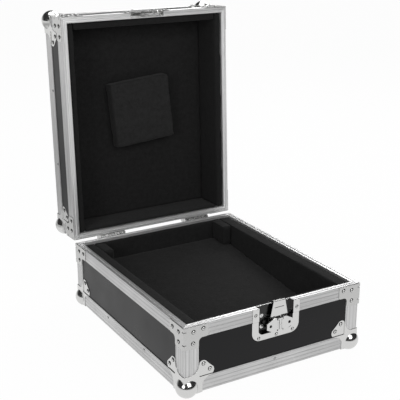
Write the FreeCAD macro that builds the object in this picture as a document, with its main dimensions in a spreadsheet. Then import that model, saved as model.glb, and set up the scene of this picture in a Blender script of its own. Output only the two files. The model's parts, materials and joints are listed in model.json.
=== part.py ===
import FreeCAD, Part
import math
import os
import Sketcher

# Flight case for a table-top mixer, modelled open: a base tray and a lid tray of plywood panels
# in aluminium rails, hinged at the back and held by a twist latch at the front.
# Lengths are millimetres and angles degrees. Case coordinates have X to the right, Y to the back
# and Z up, with zero in the middle of the base's underside. One tray is built for the base and
# one, upside down, for the lid.

SIZES = {
    # The case
    "width": (410, "outside width over the rails"),
    "depth": (496, "outside depth over the rails"),
    "base_height": (141, "underside of the base to the rim plane"),
    "lid_height": (98, "rim plane to the outside of the lid"),
    "open_angle": (92.5, "turn of the lid from closed to its stop"),
    "ply": (9, "thickness of the plywood panels"),
    "overrun": (3, "how far a cut reaches past what it cuts"),
    "play": (0.3, "gap between a piece and what it only lies beside"),
    # Rails
    "rail": (1.5, "wall of the rails"),
    "edge_leg": (31.5, "leg of the angle rails"),
    "edge_round": (3, "outside rounding of the angle rails"),
    "rim_width": (12.5, "width of the closing edge"),
    "rim_chamfer": (0.7, "bevel along the closing edge's outer corner"),
    "rim_flange": (26.5, "outer flange of the closing edge"),
    "rim_lip": (14, "inner flange of the closing edge"),
    "rim_web": (4.5, "solid web of the closing edge"),
    "groove_start": (4.6, "outside face to the rim groove"),
    "groove_width": (3.2, "width of the rim groove"),
    "groove_depth": (1.6, "depth of the rim groove"),
    "groove_slope": (0.7, "how much narrower the groove is at its floor, each side"),
    "tongue_play": (0.4, "gap between tongue and groove, each side"),
    "closing_gap": (0.1, "gap between the two closing edges of the shut case"),
    # Corner hardware
    "bracket": (1.2, "sheet of the corner brackets"),
    "bracket_chamfer": (1.4, "bevel along the folds of the ball corners"),
    "ball_radius": (22, "radius of the corner ball"),
    "ball_inset": (12, "ball centre inside the three outside faces"),
    "leaf_reach": (65.5, "reach of a ball corner's leaf from the corner"),
    "brace_arm": (52, "reach of a brace along the rim"),
    "brace_drop": (46, "reach of a brace away from the rim"),
    "brace_inset": (1, "edge of a brace below the rim plane"),
    "brace_chamfer": (3, "cut of a brace's outer corners"),
    "brace_fillet": (8, "rounding of a brace's inner corner"),
    "notch_upper": (8.2, "rim plane to the upper relief notch in a brace's fold"),
    "notch_lower": (34.6, "rim plane to the lower relief notch in a brace's fold"),
    "notch_height": (2, "height of a relief notch"),
    "notch_reach": (4.5, "reach of a relief notch from the fold"),
    # Feet
    "foot_height": (12, "height of a foot below the rails"),
    "foot_radius": (16, "radius of a foot where it stands"),
    "foot_flare": (2, "extra radius of a foot at the panel"),
    "foot_inset": (88, "foot centre from the outside faces"),
    # Foam
    "foam_drop": (4, "top of the wall foam below the rim plane"),
    "side_foam": (38, "inside face of the base's side foam from outside"),
    "front_foam": (27, "inside face of the base's front foam from outside"),
    "back_foam": (20, "inside face of the base's back foam from outside"),
    "floor_front": (52, "floor foam's top at the front"),
    "floor_back": (95, "floor foam's top at the back"),
    "block_width": (23, "width of a cable block"),
    "block_reach": (73, "front of a cable block from the back outside"),
    "lid_foam": (28.5, "inside face of the lid's wall foam from outside"),
    "lid_back_foam": (18, "inside face of the lid's back foam from outside"),
    "lining_foam": (12.2, "thickness of the foam against the lid's top panel"),
    "pad_side": (150, "side of the square pad in the lid"),
    "pad_thickness": (30, "thickness of the pad in the lid"),
    "pad_turn": (5, "turn of the pad on the lining"),
    "pad_x": (3.5, "pad centre right of the middle"),
    "pad_y": (18, "pad centre in front of the middle"),
    # Hinges
    "hinge_inset": (93, "middle of a hinge from the side's outside face"),
    "hinge_length": (64, "length of a hinge"),
    "knuckles": (5, "knuckles of a hinge"),
    "knuckle_radius": (5, "outside radius of a knuckle"),
    "leaf_sheet": (2, "sheet of the hinge leaves"),
    "leaf_height": (26, "hinge axis to the far edge of a leaf"),
    "pin_radius": (2.5, "radius of a hinge pin"),
    "pin_play": (0.05, "radial play of the lid's knuckles on the pin"),
    "stop_width": (4, "width of a stop rib"),
    "stop_inner": (6.6, "hinge axis to the near end of a stop face"),
    "stop_outer": (15, "hinge axis to the far end of a stop face"),
    "stop_gap": (0.1, "gap between two stop faces"),
    # Latch dishes
    "dish_width": (110, "width of the dish flange"),
    "dish_drop": (69, "rim plane to the lower end of the flange"),
    "keeper_rise": (33, "rim plane to the upper end of the lid's flange"),
    "dish_round": (19, "rounding of the lower flange"),
    "keeper_round": (14, "rounding of the upper flange"),
    "dish_sheet": (1.2, "sheet of both dishes"),
    "recess_width": (80, "inside width of the recess"),
    "recess_drop": (57, "rim plane to the bottom of the recess"),
    "recess_rise": (21, "rim plane to the top of the lid's recess"),
    "recess_depth": (9.3, "front face to the floor of the recess"),
    "recess_round": (10, "rounding of the recess"),
    # Latch works, depths from the front face and heights from the rim plane
    "latch_side": (8, "latch middle right of the case's middle"),
    "spindle_drop": (43, "rim plane down to the spindle"),
    "spindle_radius": (2.5, "radius of the spindle in the dish floor"),
    "throw": (4, "eccentricity of the disc"),
    "disc_radius": (6.8, "radius of the eccentric disc"),
    "slide_start": (6.8, "front of the slide plate"),
    "slide_end": (8.8, "back of the slide plate"),
    "slide_half": (18, "half width of the slide plate"),
    "slide_top": (26, "rim plane down to the slide's top"),
    "slide_bottom": (56.4, "rim plane down to the slide's bottom"),
    "slot_play": (0.95, "gap between disc and slot, above and below"),
    "ear_radius": (3.2, "radius of the slide's ears"),
    "ear_width": (3.7, "width of an ear"),
    "pivot_drop": (30, "rim plane down to the hook pivot"),
    "pivot_depth": (4.5, "front face to the hook pivot"),
    "pivot_radius": (1.5, "radius of the hook pivot"),
    "running_play": (0.05, "radial play of the small pivots"),
    "guide_width": (3, "width of a slide guide"),
    "guide_lip": (1.5, "reach of a guide's lip over the slide"),
    "guide_sheet": (1.2, "thickness of a guide's lip"),
    "guide_top": (30, "rim plane down to a guide's top"),
    "guide_bottom": (52, "rim plane down to a guide's bottom"),
    "hook_half": (13.5, "half width of the hook's curl"),
    "hook_spread": (6.5, "how much wider the hook's foot is, each side"),
    "hook_tab": (10, "half width of the hook's barrel"),
    "hook_sheet": (1.5, "sheet of the hook and the keeper"),
    "hook_front": (1.5, "front face to the hook plate"),
    "hook_barrel": (3, "radius of the hook's barrel"),
    "hook_root": (25.5, "rim plane down to the hook's wide edge"),
    "hook_top": (6.5, "rim plane up to the top of the curl"),
    "hook_lip": (1.8, "rim plane up to the end of the curl"),
    "hook_gap": (4.2, "inside width of the curl"),
    "keeper_front": (3.5, "front face to the keeper lip"),
    "keeper_top": (4.5, "rim plane up to the edge of the keeper lip"),
    "keeper_foot": (1, "thickness of the keeper's foot"),
    "keeper_half": (25, "half width of the keeper"),
    # Butterfly head
    "head_front": (-3.9, "front of the head, ahead of the front face"),
    "head_back": (-1.4, "back of the head"),
    "head_web": (2.2, "half width of the head's web"),
    "head_half": (13.5, "half height of the head"),
    "head_ear": (3.3, "height of an ear of the head"),
    "head_ear_half": (5.6, "half width over the ears of the head"),
    "wing_front": (-3.2, "front of a wing"),
    "wing_back": (-1.6, "back of a wing"),
    "wing_axis": (4.2, "spindle to the axis of a wing"),
    "wing_barrel": (1.8, "radius of a wing's barrel"),
    "wing_pin": (0.9, "radius of a wing's pin"),
    "wing_reach": (31, "spindle to the tip of a wing"),
    "wing_half": (15, "half height of a wing"),
    "wing_start": (7.4, "spindle to a wing's full height"),
    "wing_taper": (17, "length of the taper to a wing's tip"),
    "wing_tip": (6, "half height of a wing's tip"),
    "wing_hole_at": (22, "spindle to the hole in a wing"),
    "wing_hole": (3, "radius of the hole in a wing"),
    # Carrying handle on the right side
    "plate_length": (118, "length of the handle plate"),
    "plate_margin": (6.5, "handle plate to the rails above and below"),
    "plate_round": (8, "rounding of the handle plate"),
    "bail_inset": (14, "upper edge of the handle plate to the bail's axis"),
    "bail_stand": (8, "bail axis outside the case face"),
    "bail_pivot": (4, "radius of the bail's pivots"),
    "bail_play": (0.1, "radial play of the pivots in their brackets"),
    "bail_half": (44, "half distance over the bail's arms"),
    "bail_bar": (7, "width of the bail's flat bar"),
    "bail_thickness": (5, "thickness of the bail's flat bar"),
    "bail_round": (12, "outside rounding of the bail"),
    "bail_bend": (5, "inside rounding of the bail"),
    "bracket_start": (49.5, "middle to the near face of a bail bracket"),
    "bracket_end": (56, "middle to the far face of a bail bracket"),
    "bracket_half": (8, "half height of a bail bracket"),
    "grip_inset": (18, "lower edge of the handle plate to the grip's middle"),
    "grip_width": (13, "thickness of the grip"),
    "grip_round": (5, "rounding of the grip"),
    "grip_half": (31, "half length of the grip"),
}

# Shares of a leaf's reach for the outline of a ball corner's leaf: straight across the rail, round
# the corner of its U-shaped end, and over one lobe to the notch. The other half is its mirror image.
LEAF_SHARES = {
    "foot": (0.6, 0.0),
    "bay_start": (0.6, 0.26),
    "bay": (0.69, 0.4),
    "shoulder": (0.85, 0.475),
    "lobe_start": (0.94, 0.505),
    "lobe_tip": (1.0, 0.63),
    "lobe_end": (0.945, 0.745),
    "notch": (0.84, 0.84),
}

document = FreeCAD.newDocument("flight_case")
sheet = document.addObject("Spreadsheet::Sheet", "Sizes")
pieces = {}


class Size:
    """A number together with the cell formula that gives it."""

    def __init__(self, value, formula):
        self.value = float(value)
        self.formula = formula

    def __float__(self):
        return self.value

    def __add__(self, other):
        return Size(self.value + float(other), f"({self.formula} + {formula_of(other)})")

    def __radd__(self, other):
        return Size(float(other) + self.value, f"({formula_of(other)} + {self.formula})")

    def __sub__(self, other):
        return Size(self.value - float(other), f"({self.formula} - {formula_of(other)})")

    def __rsub__(self, other):
        return Size(float(other) - self.value, f"({formula_of(other)} - {self.formula})")

    def __mul__(self, other):
        return Size(self.value * float(other), f"({self.formula} * {formula_of(other)})")

    __rmul__ = __mul__

    def __truediv__(self, other):
        return Size(self.value / float(other), f"({self.formula} / {formula_of(other)})")

    def __neg__(self):
        return Size(-self.value, f"(0 - {self.formula})")


def formula_of(quantity):
    """The cell formula of a size, or a plain number written out."""
    return quantity.formula if isinstance(quantity, Size) else repr(float(quantity))


class SizeTable:
    """Writes the sizes to the sheet and offers each one by its name."""

    def __init__(self, rows):
        for row, (name, (value, note)) in enumerate(rows.items(), start=1):
            sheet.set(f"A{row}", note)
            sheet.set(f"B{row}", str(value))
            sheet.setAlias(f"B{row}", name)
            setattr(self, name, Size(value, f"Sizes.{name}"))


size = SizeTable(SIZES)
document.recompute()

# Places that several pieces share
wall = size.rail + size.ply
front_y = -size.depth / 2
back_y = size.depth / 2
rim_z = size.base_height
hinge_y = back_y + size.knuckle_radius
ball_reach = size.ball_radius - size.ball_inset
hinge_x = size.width / 2 - size.hinge_inset
spindle_z = rim_z - size.spindle_drop
VECTOR_X = FreeCAD.Vector(1, 0, 0)
VECTOR_Y = FreeCAD.Vector(0, 1, 0)
VECTOR_Z = FreeCAD.Vector(0, 0, 1)
CORNER_DIAGONAL = FreeCAD.Vector(1, 1, 1)
THIRD_TURN = 120
HALF_TURN = 180
RIGHT_ANGLE = 90


def vector(x, y, z):
    """A point or direction from sizes or numbers."""
    return FreeCAD.Vector(float(x), float(y), float(z))


def moved(x, y, z, axis=VECTOR_Z, angle=0):
    return FreeCAD.Placement(vector(x, y, z), FreeCAD.Rotation(axis, float(angle)))


def sine(angle):
    return Size(math.sin(math.radians(float(angle))), f"sin({formula_of(angle)} * 1 deg)")


def cosine(angle):
    return Size(math.cos(math.radians(float(angle))), f"cos({formula_of(angle)} * 1 deg)")


# Sketches, pads and pockets

PLANES = {"XY": ("XY_Plane", 1), "YZ": ("YZ_Plane", 1), "XZ": ("XZ_Plane", -1)}


def bind(owner, path, quantity):
    """Ties a property of an object to the sheet, where its value comes from a size."""
    if isinstance(quantity, Size):
        owner.setExpression(path, quantity.formula)


def sign(number):
    return (float(number) > 0) - (float(number) < 0)


def rounded_corners(corners):
    """Turns corners (x, y) or right-angled corners (x, y, radius) into points and arc marks."""
    points = []
    for index, corner in enumerate(corners):
        x, y = corner[0], corner[1]
        if len(corner) == 2:
            points.append((x, y, None))
            continue
        radius = corner[2]
        before = corners[index - 1]
        after = corners[(index + 1) % len(corners)]
        ends = []
        for other in (before, after):
            step_x = sign(float(other[0]) - float(x))
            step_y = sign(float(other[1]) - float(y))
            if abs(float(other[0]) - float(x)) > abs(float(other[1]) - float(y)):
                step_y = 0
            else:
                step_x = 0
            ends.append((x + step_x * radius, y + step_y * radius))
        turn_x = float(ends[0][0]) + float(ends[1][0]) - float(x)
        turn_y = float(ends[0][1]) + float(ends[1][1]) - float(y)
        points.append((ends[0][0], ends[0][1], (radius, turn_x, turn_y)))
        points.append((ends[1][0], ends[1][1], None))
    return points


def add_outline(sketch, corners):
    """Draws a closed outline and ties every point to the sheet."""
    points = rounded_corners(corners)
    count = len(points)
    first = sketch.GeometryCount
    starts = []
    # Each curve's first and last point, in the direction of the outline
    for index, (x, y, arc) in enumerate(points):
        end = points[(index + 1) % count]
        here = vector(x, y, 0)
        there = vector(end[0], end[1], 0)
        if arc is None:
            sketch.addGeometry(Part.LineSegment(here, there), False)
            starts.append((1, 2))
            continue
        radius, centre_x, centre_y = arc
        angle_here = math.atan2(here.y - centre_y, here.x - centre_x)
        angle_there = math.atan2(there.y - centre_y, there.x - centre_x)
        turn = (angle_there - angle_here) % (2 * math.pi)
        circle = Part.Circle(vector(centre_x, centre_y, 0), VECTOR_Z, float(radius))
        if turn < math.pi:
            arc_curve = Part.ArcOfCircle(circle, angle_here, angle_here + turn)
            starts.append((1, 2))
        else:
            arc_curve = Part.ArcOfCircle(circle, angle_there, angle_there - turn + 2 * math.pi)
            starts.append((2, 1))
        sketch.addGeometry(arc_curve, False)
    for index, (x, y, arc) in enumerate(points):
        geometry = first + index
        following = (index + 1) % count
        sketch.addConstraint(Sketcher.Constraint(
            "Coincident", geometry, starts[index][1], first + following, starts[following][0]))
        place_point(sketch, geometry, starts[index][0], x, y)
        if arc is not None:
            mark = sketch.addConstraint(Sketcher.Constraint("Radius", geometry, float(arc[0])))
            bind(sketch, f"Constraints[{mark}]", arc[0])


def add_circle(sketch, x, y, radius):
    circle = Part.Circle(vector(x, y, 0), VECTOR_Z, float(radius))
    geometry = sketch.addGeometry(circle, False)
    place_point(sketch, geometry, 3, x, y)
    mark = sketch.addConstraint(Sketcher.Constraint("Radius", geometry, float(radius)))
    bind(sketch, f"Constraints[{mark}]", radius)


def place_point(sketch, geometry, position, x, y):
    """Holds one point of a curve at its distances from the sketch's origin."""
    for kind, quantity in (("DistanceX", x), ("DistanceY", y)):
        mark = sketch.addConstraint(Sketcher.Constraint(
            kind, -1, 1, geometry, position, float(quantity)))
        bind(sketch, f"Constraints[{mark}]", quantity)


def new_sketch(body, plane, level, outlines, circles):
    """A sketch on one of the body's origin planes, moved to a level along its normal axis."""
    role, facing = PLANES[plane]
    support = next(item for item in body.Origin.OriginFeatures if item.Role == role)
    sketch = body.newObject("Sketcher::SketchObject", body.Name + "_sketch")
    sketch.AttachmentSupport = (support, [""])
    sketch.MapMode = "FlatFace"
    height = level * facing
    sketch.AttachmentOffset = moved(0, 0, height)
    bind(sketch, "AttachmentOffset.Base.z", height)
    for corners in outlines:
        add_outline(sketch, corners)
    for x, y, radius in circles:
        add_circle(sketch, x, y, radius)
    return sketch


def new_body(name):
    return document.addObject("PartDesign::Body", name)


def pad(body, plane, low, high, outlines=(), circles=()):
    """Adds material between two levels of a plane's normal axis."""
    start = low if PLANES[plane][1] > 0 else high
    sketch = new_sketch(body, plane, start, outlines, circles)
    feature = body.newObject("PartDesign::Pad", body.Name + "_pad")
    feature.Profile = sketch
    feature.Length = float(high - low)
    bind(feature, "Length", high - low)
    return feature


def pocket(body, plane, low, high, outlines=(), circles=()):
    """Cuts between two levels of a plane's normal axis."""
    start = high if PLANES[plane][1] > 0 else low
    sketch = new_sketch(body, plane, start, outlines, circles)
    feature = body.newObject("PartDesign::Pocket", body.Name + "_pocket")
    feature.Profile = sketch
    feature.Length = float(high - low)
    bind(feature, "Length", high - low)
    return feature


def rectangle(x_low, x_high, y_low, y_high):
    return [(x_low, y_low), (x_high, y_low), (x_high, y_high), (x_low, y_high)]


def keep(name, piece, placement):
    """Names a finished sub-part and puts it in its place."""
    piece.Placement = placement
    piece.Label = name
    pieces[name] = piece
    return piece


def mirrored_set(name, first, normals, placement):
    """Repeats a piece by mirror planes through zero and keeps the copies as one sub-part."""
    members = [first]
    for normal in normals:
        for member in list(members):
            twin = document.addObject("Part::Mirroring", name + "_twin")
            twin.Source = member
            twin.Normal = normal
            members.append(twin)
    whole = document.addObject("Part::Compound", name)
    whole.Links = members
    return keep(name, whole, placement)


# Where the base and the lid stand

def opened_point(y, z):
    """Case coordinates of a point of the closed lid once the lid is open."""
    turn = math.radians(float(size.open_angle))
    out_y = float(y) - float(hinge_y)
    out_z = float(z) - float(rim_z)
    return (float(hinge_y) + out_y * math.cos(turn) + out_z * math.sin(turn),
            float(rim_z) - out_y * math.sin(turn) + out_z * math.cos(turn))


lid_ball_y = opened_point(front_y + size.ball_inset, rim_z + size.lid_height - size.ball_inset)[0]
rear_reach = lid_ball_y + float(size.ball_radius)
front_reach = float(front_y - ball_reach)
case_frame = moved(0, -(front_reach + rear_reach) / 2, size.foot_height)
lid_swing = FreeCAD.Placement(vector(0, 0, 0), FreeCAD.Rotation(VECTOR_X, -float(size.open_angle)),
                              vector(0, hinge_y, rim_z))
lid_frame = case_frame * lid_swing
lid_tray_frame = lid_frame * moved(0, 0, rim_z + size.lid_height, VECTOR_Y, HALF_TURN)


def side_placement(side):
    """Tray placement of a piece drawn with X along the side, Y inwards and Z up."""
    places = {
        "front": moved(0, front_y, 0),
        "right": moved(size.width / 2, 0, 0, VECTOR_Z, RIGHT_ANGLE),
        "back": moved(0, back_y, 0, VECTOR_Z, HALF_TURN),
        "left": moved(-size.width / 2, 0, 0, VECTOR_Z, -RIGHT_ANGLE),
    }
    return places[side]


SIDES = ("front", "back", "left", "right")
# The lid is a tray turned over, so its left side is the tray's right side.
SAME_SIDES = {side: side for side in SIDES}
TURNED_SIDES = {"front": "front", "back": "back", "left": "right", "right": "left"}


def side_length(side):
    return size.width if side in ("front", "back") else size.depth


# Rails

def mitred(body, length, reach, low, high):
    """Cuts both ends of a rail at 45 degrees."""
    far = length / 2 + size.overrun
    near = length / 2 - reach - size.overrun
    inner = reach + size.overrun
    ends = [[(way * far, -size.overrun), (way * far, inner), (way * near, inner)] for way in (1, -1)]
    pocket(body, "XY", low - size.overrun, high + size.overrun, ends)


def angle_rail(name, length):
    """Edge rail with two equal legs, mitred at both ends."""
    body = new_body(name)
    leg, sheet_wall = size.edge_leg, size.rail
    outline = [(0, 0, size.edge_round), (leg, 0), (leg, sheet_wall), (sheet_wall, sheet_wall),
               (sheet_wall, leg), (0, leg)]
    pad(body, "YZ", -length / 2, length / 2, [outline])
    mitred(body, length, leg, 0, leg)
    return body


def rim_rail(name, length, closure):
    """The closing edge, with a groove on the base or a tongue on the lid."""
    body = new_body(name)
    inner = size.rim_width - size.rail
    start = size.groove_start
    stop = size.groove_start + size.groove_width
    slope = size.groove_slope
    if closure == "groove":
        floor = -size.groove_depth
        key = [(stop, 0), (stop - slope, floor), (start + slope, floor), (start, 0)]
    else:
        rise = size.groove_depth - size.tongue_play
        left, right = start + size.tongue_play, stop - size.tongue_play
        key = [(right, 0), (right - slope, rise), (left + slope, rise), (left, 0)]
    bevel = size.rim_chamfer
    outline = [(bevel, 0), (0, -bevel), (0, -size.rim_flange), (size.rail, -size.rim_flange),
               (size.rail, -size.rim_web), (inner, -size.rim_web), (inner, -size.rim_lip),
               (size.rim_width, -size.rim_lip), (size.rim_width, 0)] + key
    pad(body, "YZ", -length / 2, length / 2, [outline])
    mitred(body, length, size.rim_width, -size.rim_flange, size.groove_depth)
    return body


def corner_rail(name, rim_level):
    """Upright angle rail on the front left corner of a tray."""
    body = new_body(name + "_one")
    x, y = -size.width / 2, front_y
    leg, sheet_wall = size.edge_leg, size.rail
    outline = [(x, y, size.edge_round), (x + leg, y), (x + leg, y + sheet_wall),
               (x + sheet_wall, y + sheet_wall), (x + sheet_wall, y + leg), (x, y + leg)]
    pad(body, "XY", size.edge_leg, rim_level - size.rim_flange, [outline])
    return body


# Corner hardware

def leaf_outline():
    """Closed wire of a leaf in the XY plane, with the corner at zero."""
    reach = float(size.leaf_reach)
    edge = -float(size.bracket)
    half = {key: (x * reach, y * reach) for key, (x, y) in LEAF_SHARES.items()}

    def spot(key, swap):
        x, y = half[key]
        return FreeCAD.Vector(y, x, 0) if swap else FreeCAD.Vector(x, y, 0)

    def arc(first, middle, last, swap):
        return Part.Arc(spot(first, swap), spot(middle, swap), spot(last, swap)).toShape()

    def line(first, last):
        return Part.LineSegment(first, last).toShape()

    corner = FreeCAD.Vector(edge, edge, 0)
    foot_out = FreeCAD.Vector(half["foot"][0], edge, 0)
    foot_up = FreeCAD.Vector(edge, half["foot"][0], 0)
    return Part.Wire([
        line(corner, foot_out),
        line(foot_out, spot("foot", False)),
        line(spot("foot", False), spot("bay_start", False)),
        arc("bay_start", "bay", "shoulder", False),
        line(spot("shoulder", False), spot("lobe_start", False)),
        arc("lobe_start", "lobe_tip", "lobe_end", False),
        line(spot("lobe_end", False), spot("notch", False)),
        line(spot("notch", True), spot("lobe_end", True)),
        arc("lobe_end", "lobe_tip", "lobe_start", True),
        line(spot("lobe_start", True), spot("shoulder", True)),
        arc("shoulder", "bay", "bay_start", True),
        line(spot("bay_start", True), spot("foot", True)),
        line(spot("foot", True), foot_up),
        line(foot_up, corner),
    ])


def ball_corner(name):
    """Ball corner at zero, over a case corner that fills the positive octant. Its lobes step down
    from the rails onto the panels."""
    bracket, reach = float(size.bracket), float(size.leaf_reach)
    leg = float(size.edge_leg + size.play)
    face = Part.Face(leaf_outline())
    leaf = face.extrude(vector(0, 0, -bracket))
    lobes = face.extrude(vector(0, 0, float(size.rail)))
    lobes = lobes.common(Part.makeBox(reach, reach, float(size.rail), vector(leg, leg, 0)))
    step = leg + bracket
    sunk = Part.makeBox(reach, reach, reach, vector(step, step, float(size.rail) - bracket - reach))
    leaf = leaf.fuse(lobes).cut(sunk)
    leaves = [leaf]
    for count in (1, 2):
        copy = leaf.copy()
        turn = FreeCAD.Rotation(CORNER_DIAGONAL, THIRD_TURN * count)
        copy.Placement = FreeCAD.Placement(FreeCAD.Vector(), turn)
        leaves.append(copy)
    plates = leaves[0].fuse(leaves[1:])
    side = reach * 2
    hull = Part.makeBox(side, side, side, vector(-bracket, -bracket, -bracket))
    folds = [edge for edge in hull.Edges if edge_at_corner(edge, -bracket)]
    hull = hull.makeChamfer(float(size.bracket_chamfer), folds)
    plates = plates.common(hull)
    inset = float(size.ball_inset)
    ball = Part.makeSphere(float(size.ball_radius), vector(inset, inset, inset))
    ball = ball.cut(Part.makeBox(side, side, side))
    corner = document.addObject("Part::Feature", name + "_one")
    corner.Shape = plates.fuse(ball).removeSplitter()
    corner.Placement = moved(-size.width / 2, front_y, 0)
    return corner


def edge_at_corner(edge, place):
    """Whether an edge of the leaves' hull ends at its outer corner."""
    ends = [vertex.Point for vertex in edge.Vertexes]
    corner = FreeCAD.Vector(place, place, place)
    return any((end - corner).Length < abs(place) / 10 for end in ends)


def corner_brace(name, height):
    """Brace over the front left mitre of a tray's rim."""
    body = new_body(name + "_one")
    sheet_wall = size.bracket
    top = height - size.brace_inset
    arm_bottom = height - size.rim_flange
    foot = height - size.brace_drop
    for plane, level in (("XZ", front_y), ("YZ", -size.width / 2)):
        edge = -size.width / 2 if plane == "XZ" else front_y
        arm, leg, cut = edge + size.brace_arm, edge + size.edge_leg, size.brace_chamfer
        outline = [(edge - sheet_wall, top), (arm, top), (arm, arm_bottom + cut), (arm - cut, arm_bottom),
                   (leg, arm_bottom, size.brace_fillet), (leg, foot + cut), (leg - cut, foot),
                   (edge - sheet_wall, foot)]
        pad(body, plane, level - sheet_wall, level, [outline])
    x, y, reach = -size.width / 2, front_y, size.notch_reach
    outside = sheet_wall + size.overrun
    bend = [(x - outside, y - outside), (x + reach, y - outside), (x + reach, y), (x, y), (x, y + reach),
            (x - outside, y + reach)]
    for level in (height - size.notch_upper, height - size.notch_lower):
        pocket(body, "XY", level - size.notch_height, level, [bend])
    return body


# Panels

def box_body(name, x_range, y_range, z_range):
    """A plain sheet or block between three pairs of levels."""
    body = new_body(name)
    pad(body, "XY", z_range[0], z_range[1], [rectangle(*x_range, *y_range)])
    return body


def build_tray(prefix, height, sides, closure, dish_depth, frame):
    """One open tray: five panels, rim, edge and corner rails, ball corners and braces."""
    half = size.width / 2
    floor = "bottom_panel" if closure == "groove" else "top_panel"
    inner_x = half - size.rail
    rim_level = height if closure == "groove" else height - size.closing_gap
    top = rim_level - size.rim_web
    keep(f"{prefix}_{floor}", box_body(
        f"{prefix}_{floor}", (-inner_x, inner_x), (front_y + size.rail, back_y - size.rail),
        (size.rail, wall)), frame)
    for side in ("left", "right"):
        name = f"{prefix}_{sides[side]}_panel"
        x_range = (-inner_x, wall - half) if side == "left" else (half - wall, inner_x)
        keep(name, box_body(name, x_range, (front_y + size.rail, back_y - size.rail), (wall, top)), frame)
    between = half - wall
    back = box_body(f"{prefix}_back_panel", (-between, between), (back_y - wall, back_y - size.rail),
                    (wall, top))
    keep(f"{prefix}_back_panel", back, frame)
    front = box_body(f"{prefix}_front_panel", (-between, between), (front_y + size.rail, front_y + wall),
                     (wall, top))
    cut_half = size.recess_width / 2 + size.dish_sheet + size.play
    cut_drop = dish_depth + size.dish_sheet + size.play
    pocket(front, "XZ", front_y, front_y + wall + size.overrun,
           [rectangle(-cut_half, cut_half, height - cut_drop, height)])
    keep(f"{prefix}_front_panel", front, frame)
    for side in SIDES:
        length = side_length(side)
        rim_name = f"{prefix}_{sides[side]}_rim"
        rim = rim_rail(rim_name, length, closure)
        if side == "front":
            pocket(rim, "XZ", -size.overrun, size.rim_width - size.rail,
                   [rectangle(-cut_half, cut_half, -size.rim_flange - size.overrun, size.overrun
                              + size.groove_depth)])
        keep(rim_name, rim, frame * side_placement(side) * moved(0, 0, rim_level))
        edge_name = f"{prefix}_{sides[side]}_edge"
        keep(edge_name, angle_rail(edge_name, length), frame * side_placement(side))
    both = (VECTOR_X, VECTOR_Y)
    upright = f"{prefix}_corner_edges"
    mirrored_set(upright, corner_rail(upright, rim_level), both, frame)
    mirrored_set(f"{prefix}_ball_corners", ball_corner(f"{prefix}_ball_corners"), both, frame)
    mirrored_set(f"{prefix}_corner_braces", corner_brace(f"{prefix}_corner_braces", height), both, frame)


def rubber_feet():
    """Four feet, each a little wider at the panel than where it stands."""
    cone = document.addObject("Part::Cone", "foot_rubber")
    for path, quantity in (("Radius1", size.foot_radius), ("Radius2", size.foot_radius + size.foot_flare),
                           ("Height", size.foot_height + size.rail)):
        setattr(cone, path, float(quantity))
        bind(cone, path, quantity)
    cone.Placement = moved(size.foot_inset - size.width / 2, front_y + size.foot_inset, -size.foot_height)
    mirrored_set("rubber_feet", cone, (VECTOR_X, VECTOR_Y), case_frame)


# Foam

def foam_wall(name, side, length, height, inner, frame):
    """Wall foam that stands on the panel and steps round the rim's inner flange."""
    outer = wall + size.play
    clear = size.rim_width + size.play
    step = height - size.rim_lip - size.play
    top = height - size.foam_drop
    bottom = wall + size.play
    outline = [(outer, bottom), (inner, bottom), (inner, top), (clear, top), (clear, step), (outer, step)]
    body = new_body(name)
    pad(body, "YZ", -length / 2, length / 2, [outline])
    keep(name, body, frame * side_placement(side))


def wall_foams(prefix, height, sides, inner, frame):
    """Four foam walls; the side walls run the whole depth."""
    between_rims = size.depth - 2 * (size.rim_width + size.play)
    for side in SIDES:
        length = between_rims if side in ("left", "right") else size.width - 2 * (inner["left"] + size.play)
        foam_wall(f"{prefix}_{sides[side]}_foam", side, length, height, inner[side], frame)


def floor_height(y):
    """Top of the sloping floor foam."""
    start = front_y + size.front_foam + size.play
    stop = back_y - size.back_foam - size.play
    return size.floor_front + (y - start) * ((size.floor_back - size.floor_front) / (stop - start))


def base_foams():
    """Wall foam, sloping floor foam and the two cable blocks that stand on it at the back."""
    inner = {"left": size.side_foam, "right": size.side_foam, "front": size.front_foam,
             "back": size.back_foam}
    wall_foams("base", size.base_height, SAME_SIDES, inner, case_frame)
    reach = size.width / 2 - size.side_foam - size.play
    start = front_y + size.front_foam + size.play
    stop = back_y - size.back_foam - size.play
    floor = new_body("base_floor_foam")
    bottom = wall + size.play
    pad(floor, "YZ", -reach, reach, [[(start, bottom), (stop, bottom), (stop, size.floor_back),
                                      (start, size.floor_front)]])
    keep("base_floor_foam", floor, case_frame)
    block_front = back_y - size.block_reach
    top = size.base_height - size.foam_drop
    outline = [(block_front, floor_height(block_front) + size.play), (stop, size.floor_back + size.play),
               (stop, top), (block_front, top)]
    for name, low, high in (("left_cable_block", -reach, size.block_width - reach),
                            ("right_cable_block", reach - size.block_width, reach)):
        block = new_body(name)
        pad(block, "YZ", low, high, [outline])
        keep(name, block, case_frame)


def lid_foams():
    """Wall foam, lining against the top panel and the square pad on it."""
    inner = {"left": size.lid_foam, "right": size.lid_foam, "front": size.lid_foam,
             "back": size.lid_back_foam}
    wall_foams("lid", size.lid_height, TURNED_SIDES, inner, lid_tray_frame)
    reach = size.width / 2 - size.lid_foam - size.play
    lining_top = wall + size.play + size.lining_foam
    lining = box_body("lid_lining_foam", (-reach, reach),
                      (front_y + size.lid_foam + size.play, back_y - size.lid_back_foam - size.play),
                      (wall + size.play, lining_top))
    keep("lid_lining_foam", lining, lid_tray_frame)
    half = size.pad_side / 2
    block = box_body("lid_foam_block", (-half, half), (-half, half), (0, size.pad_thickness))
    keep("lid_foam_block", block,
         lid_tray_frame * moved(-size.pad_x, -size.pad_y, lining_top, VECTOR_Z, size.pad_turn))


# Stop hinges, drawn on the hinge axis with X along the pin

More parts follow.
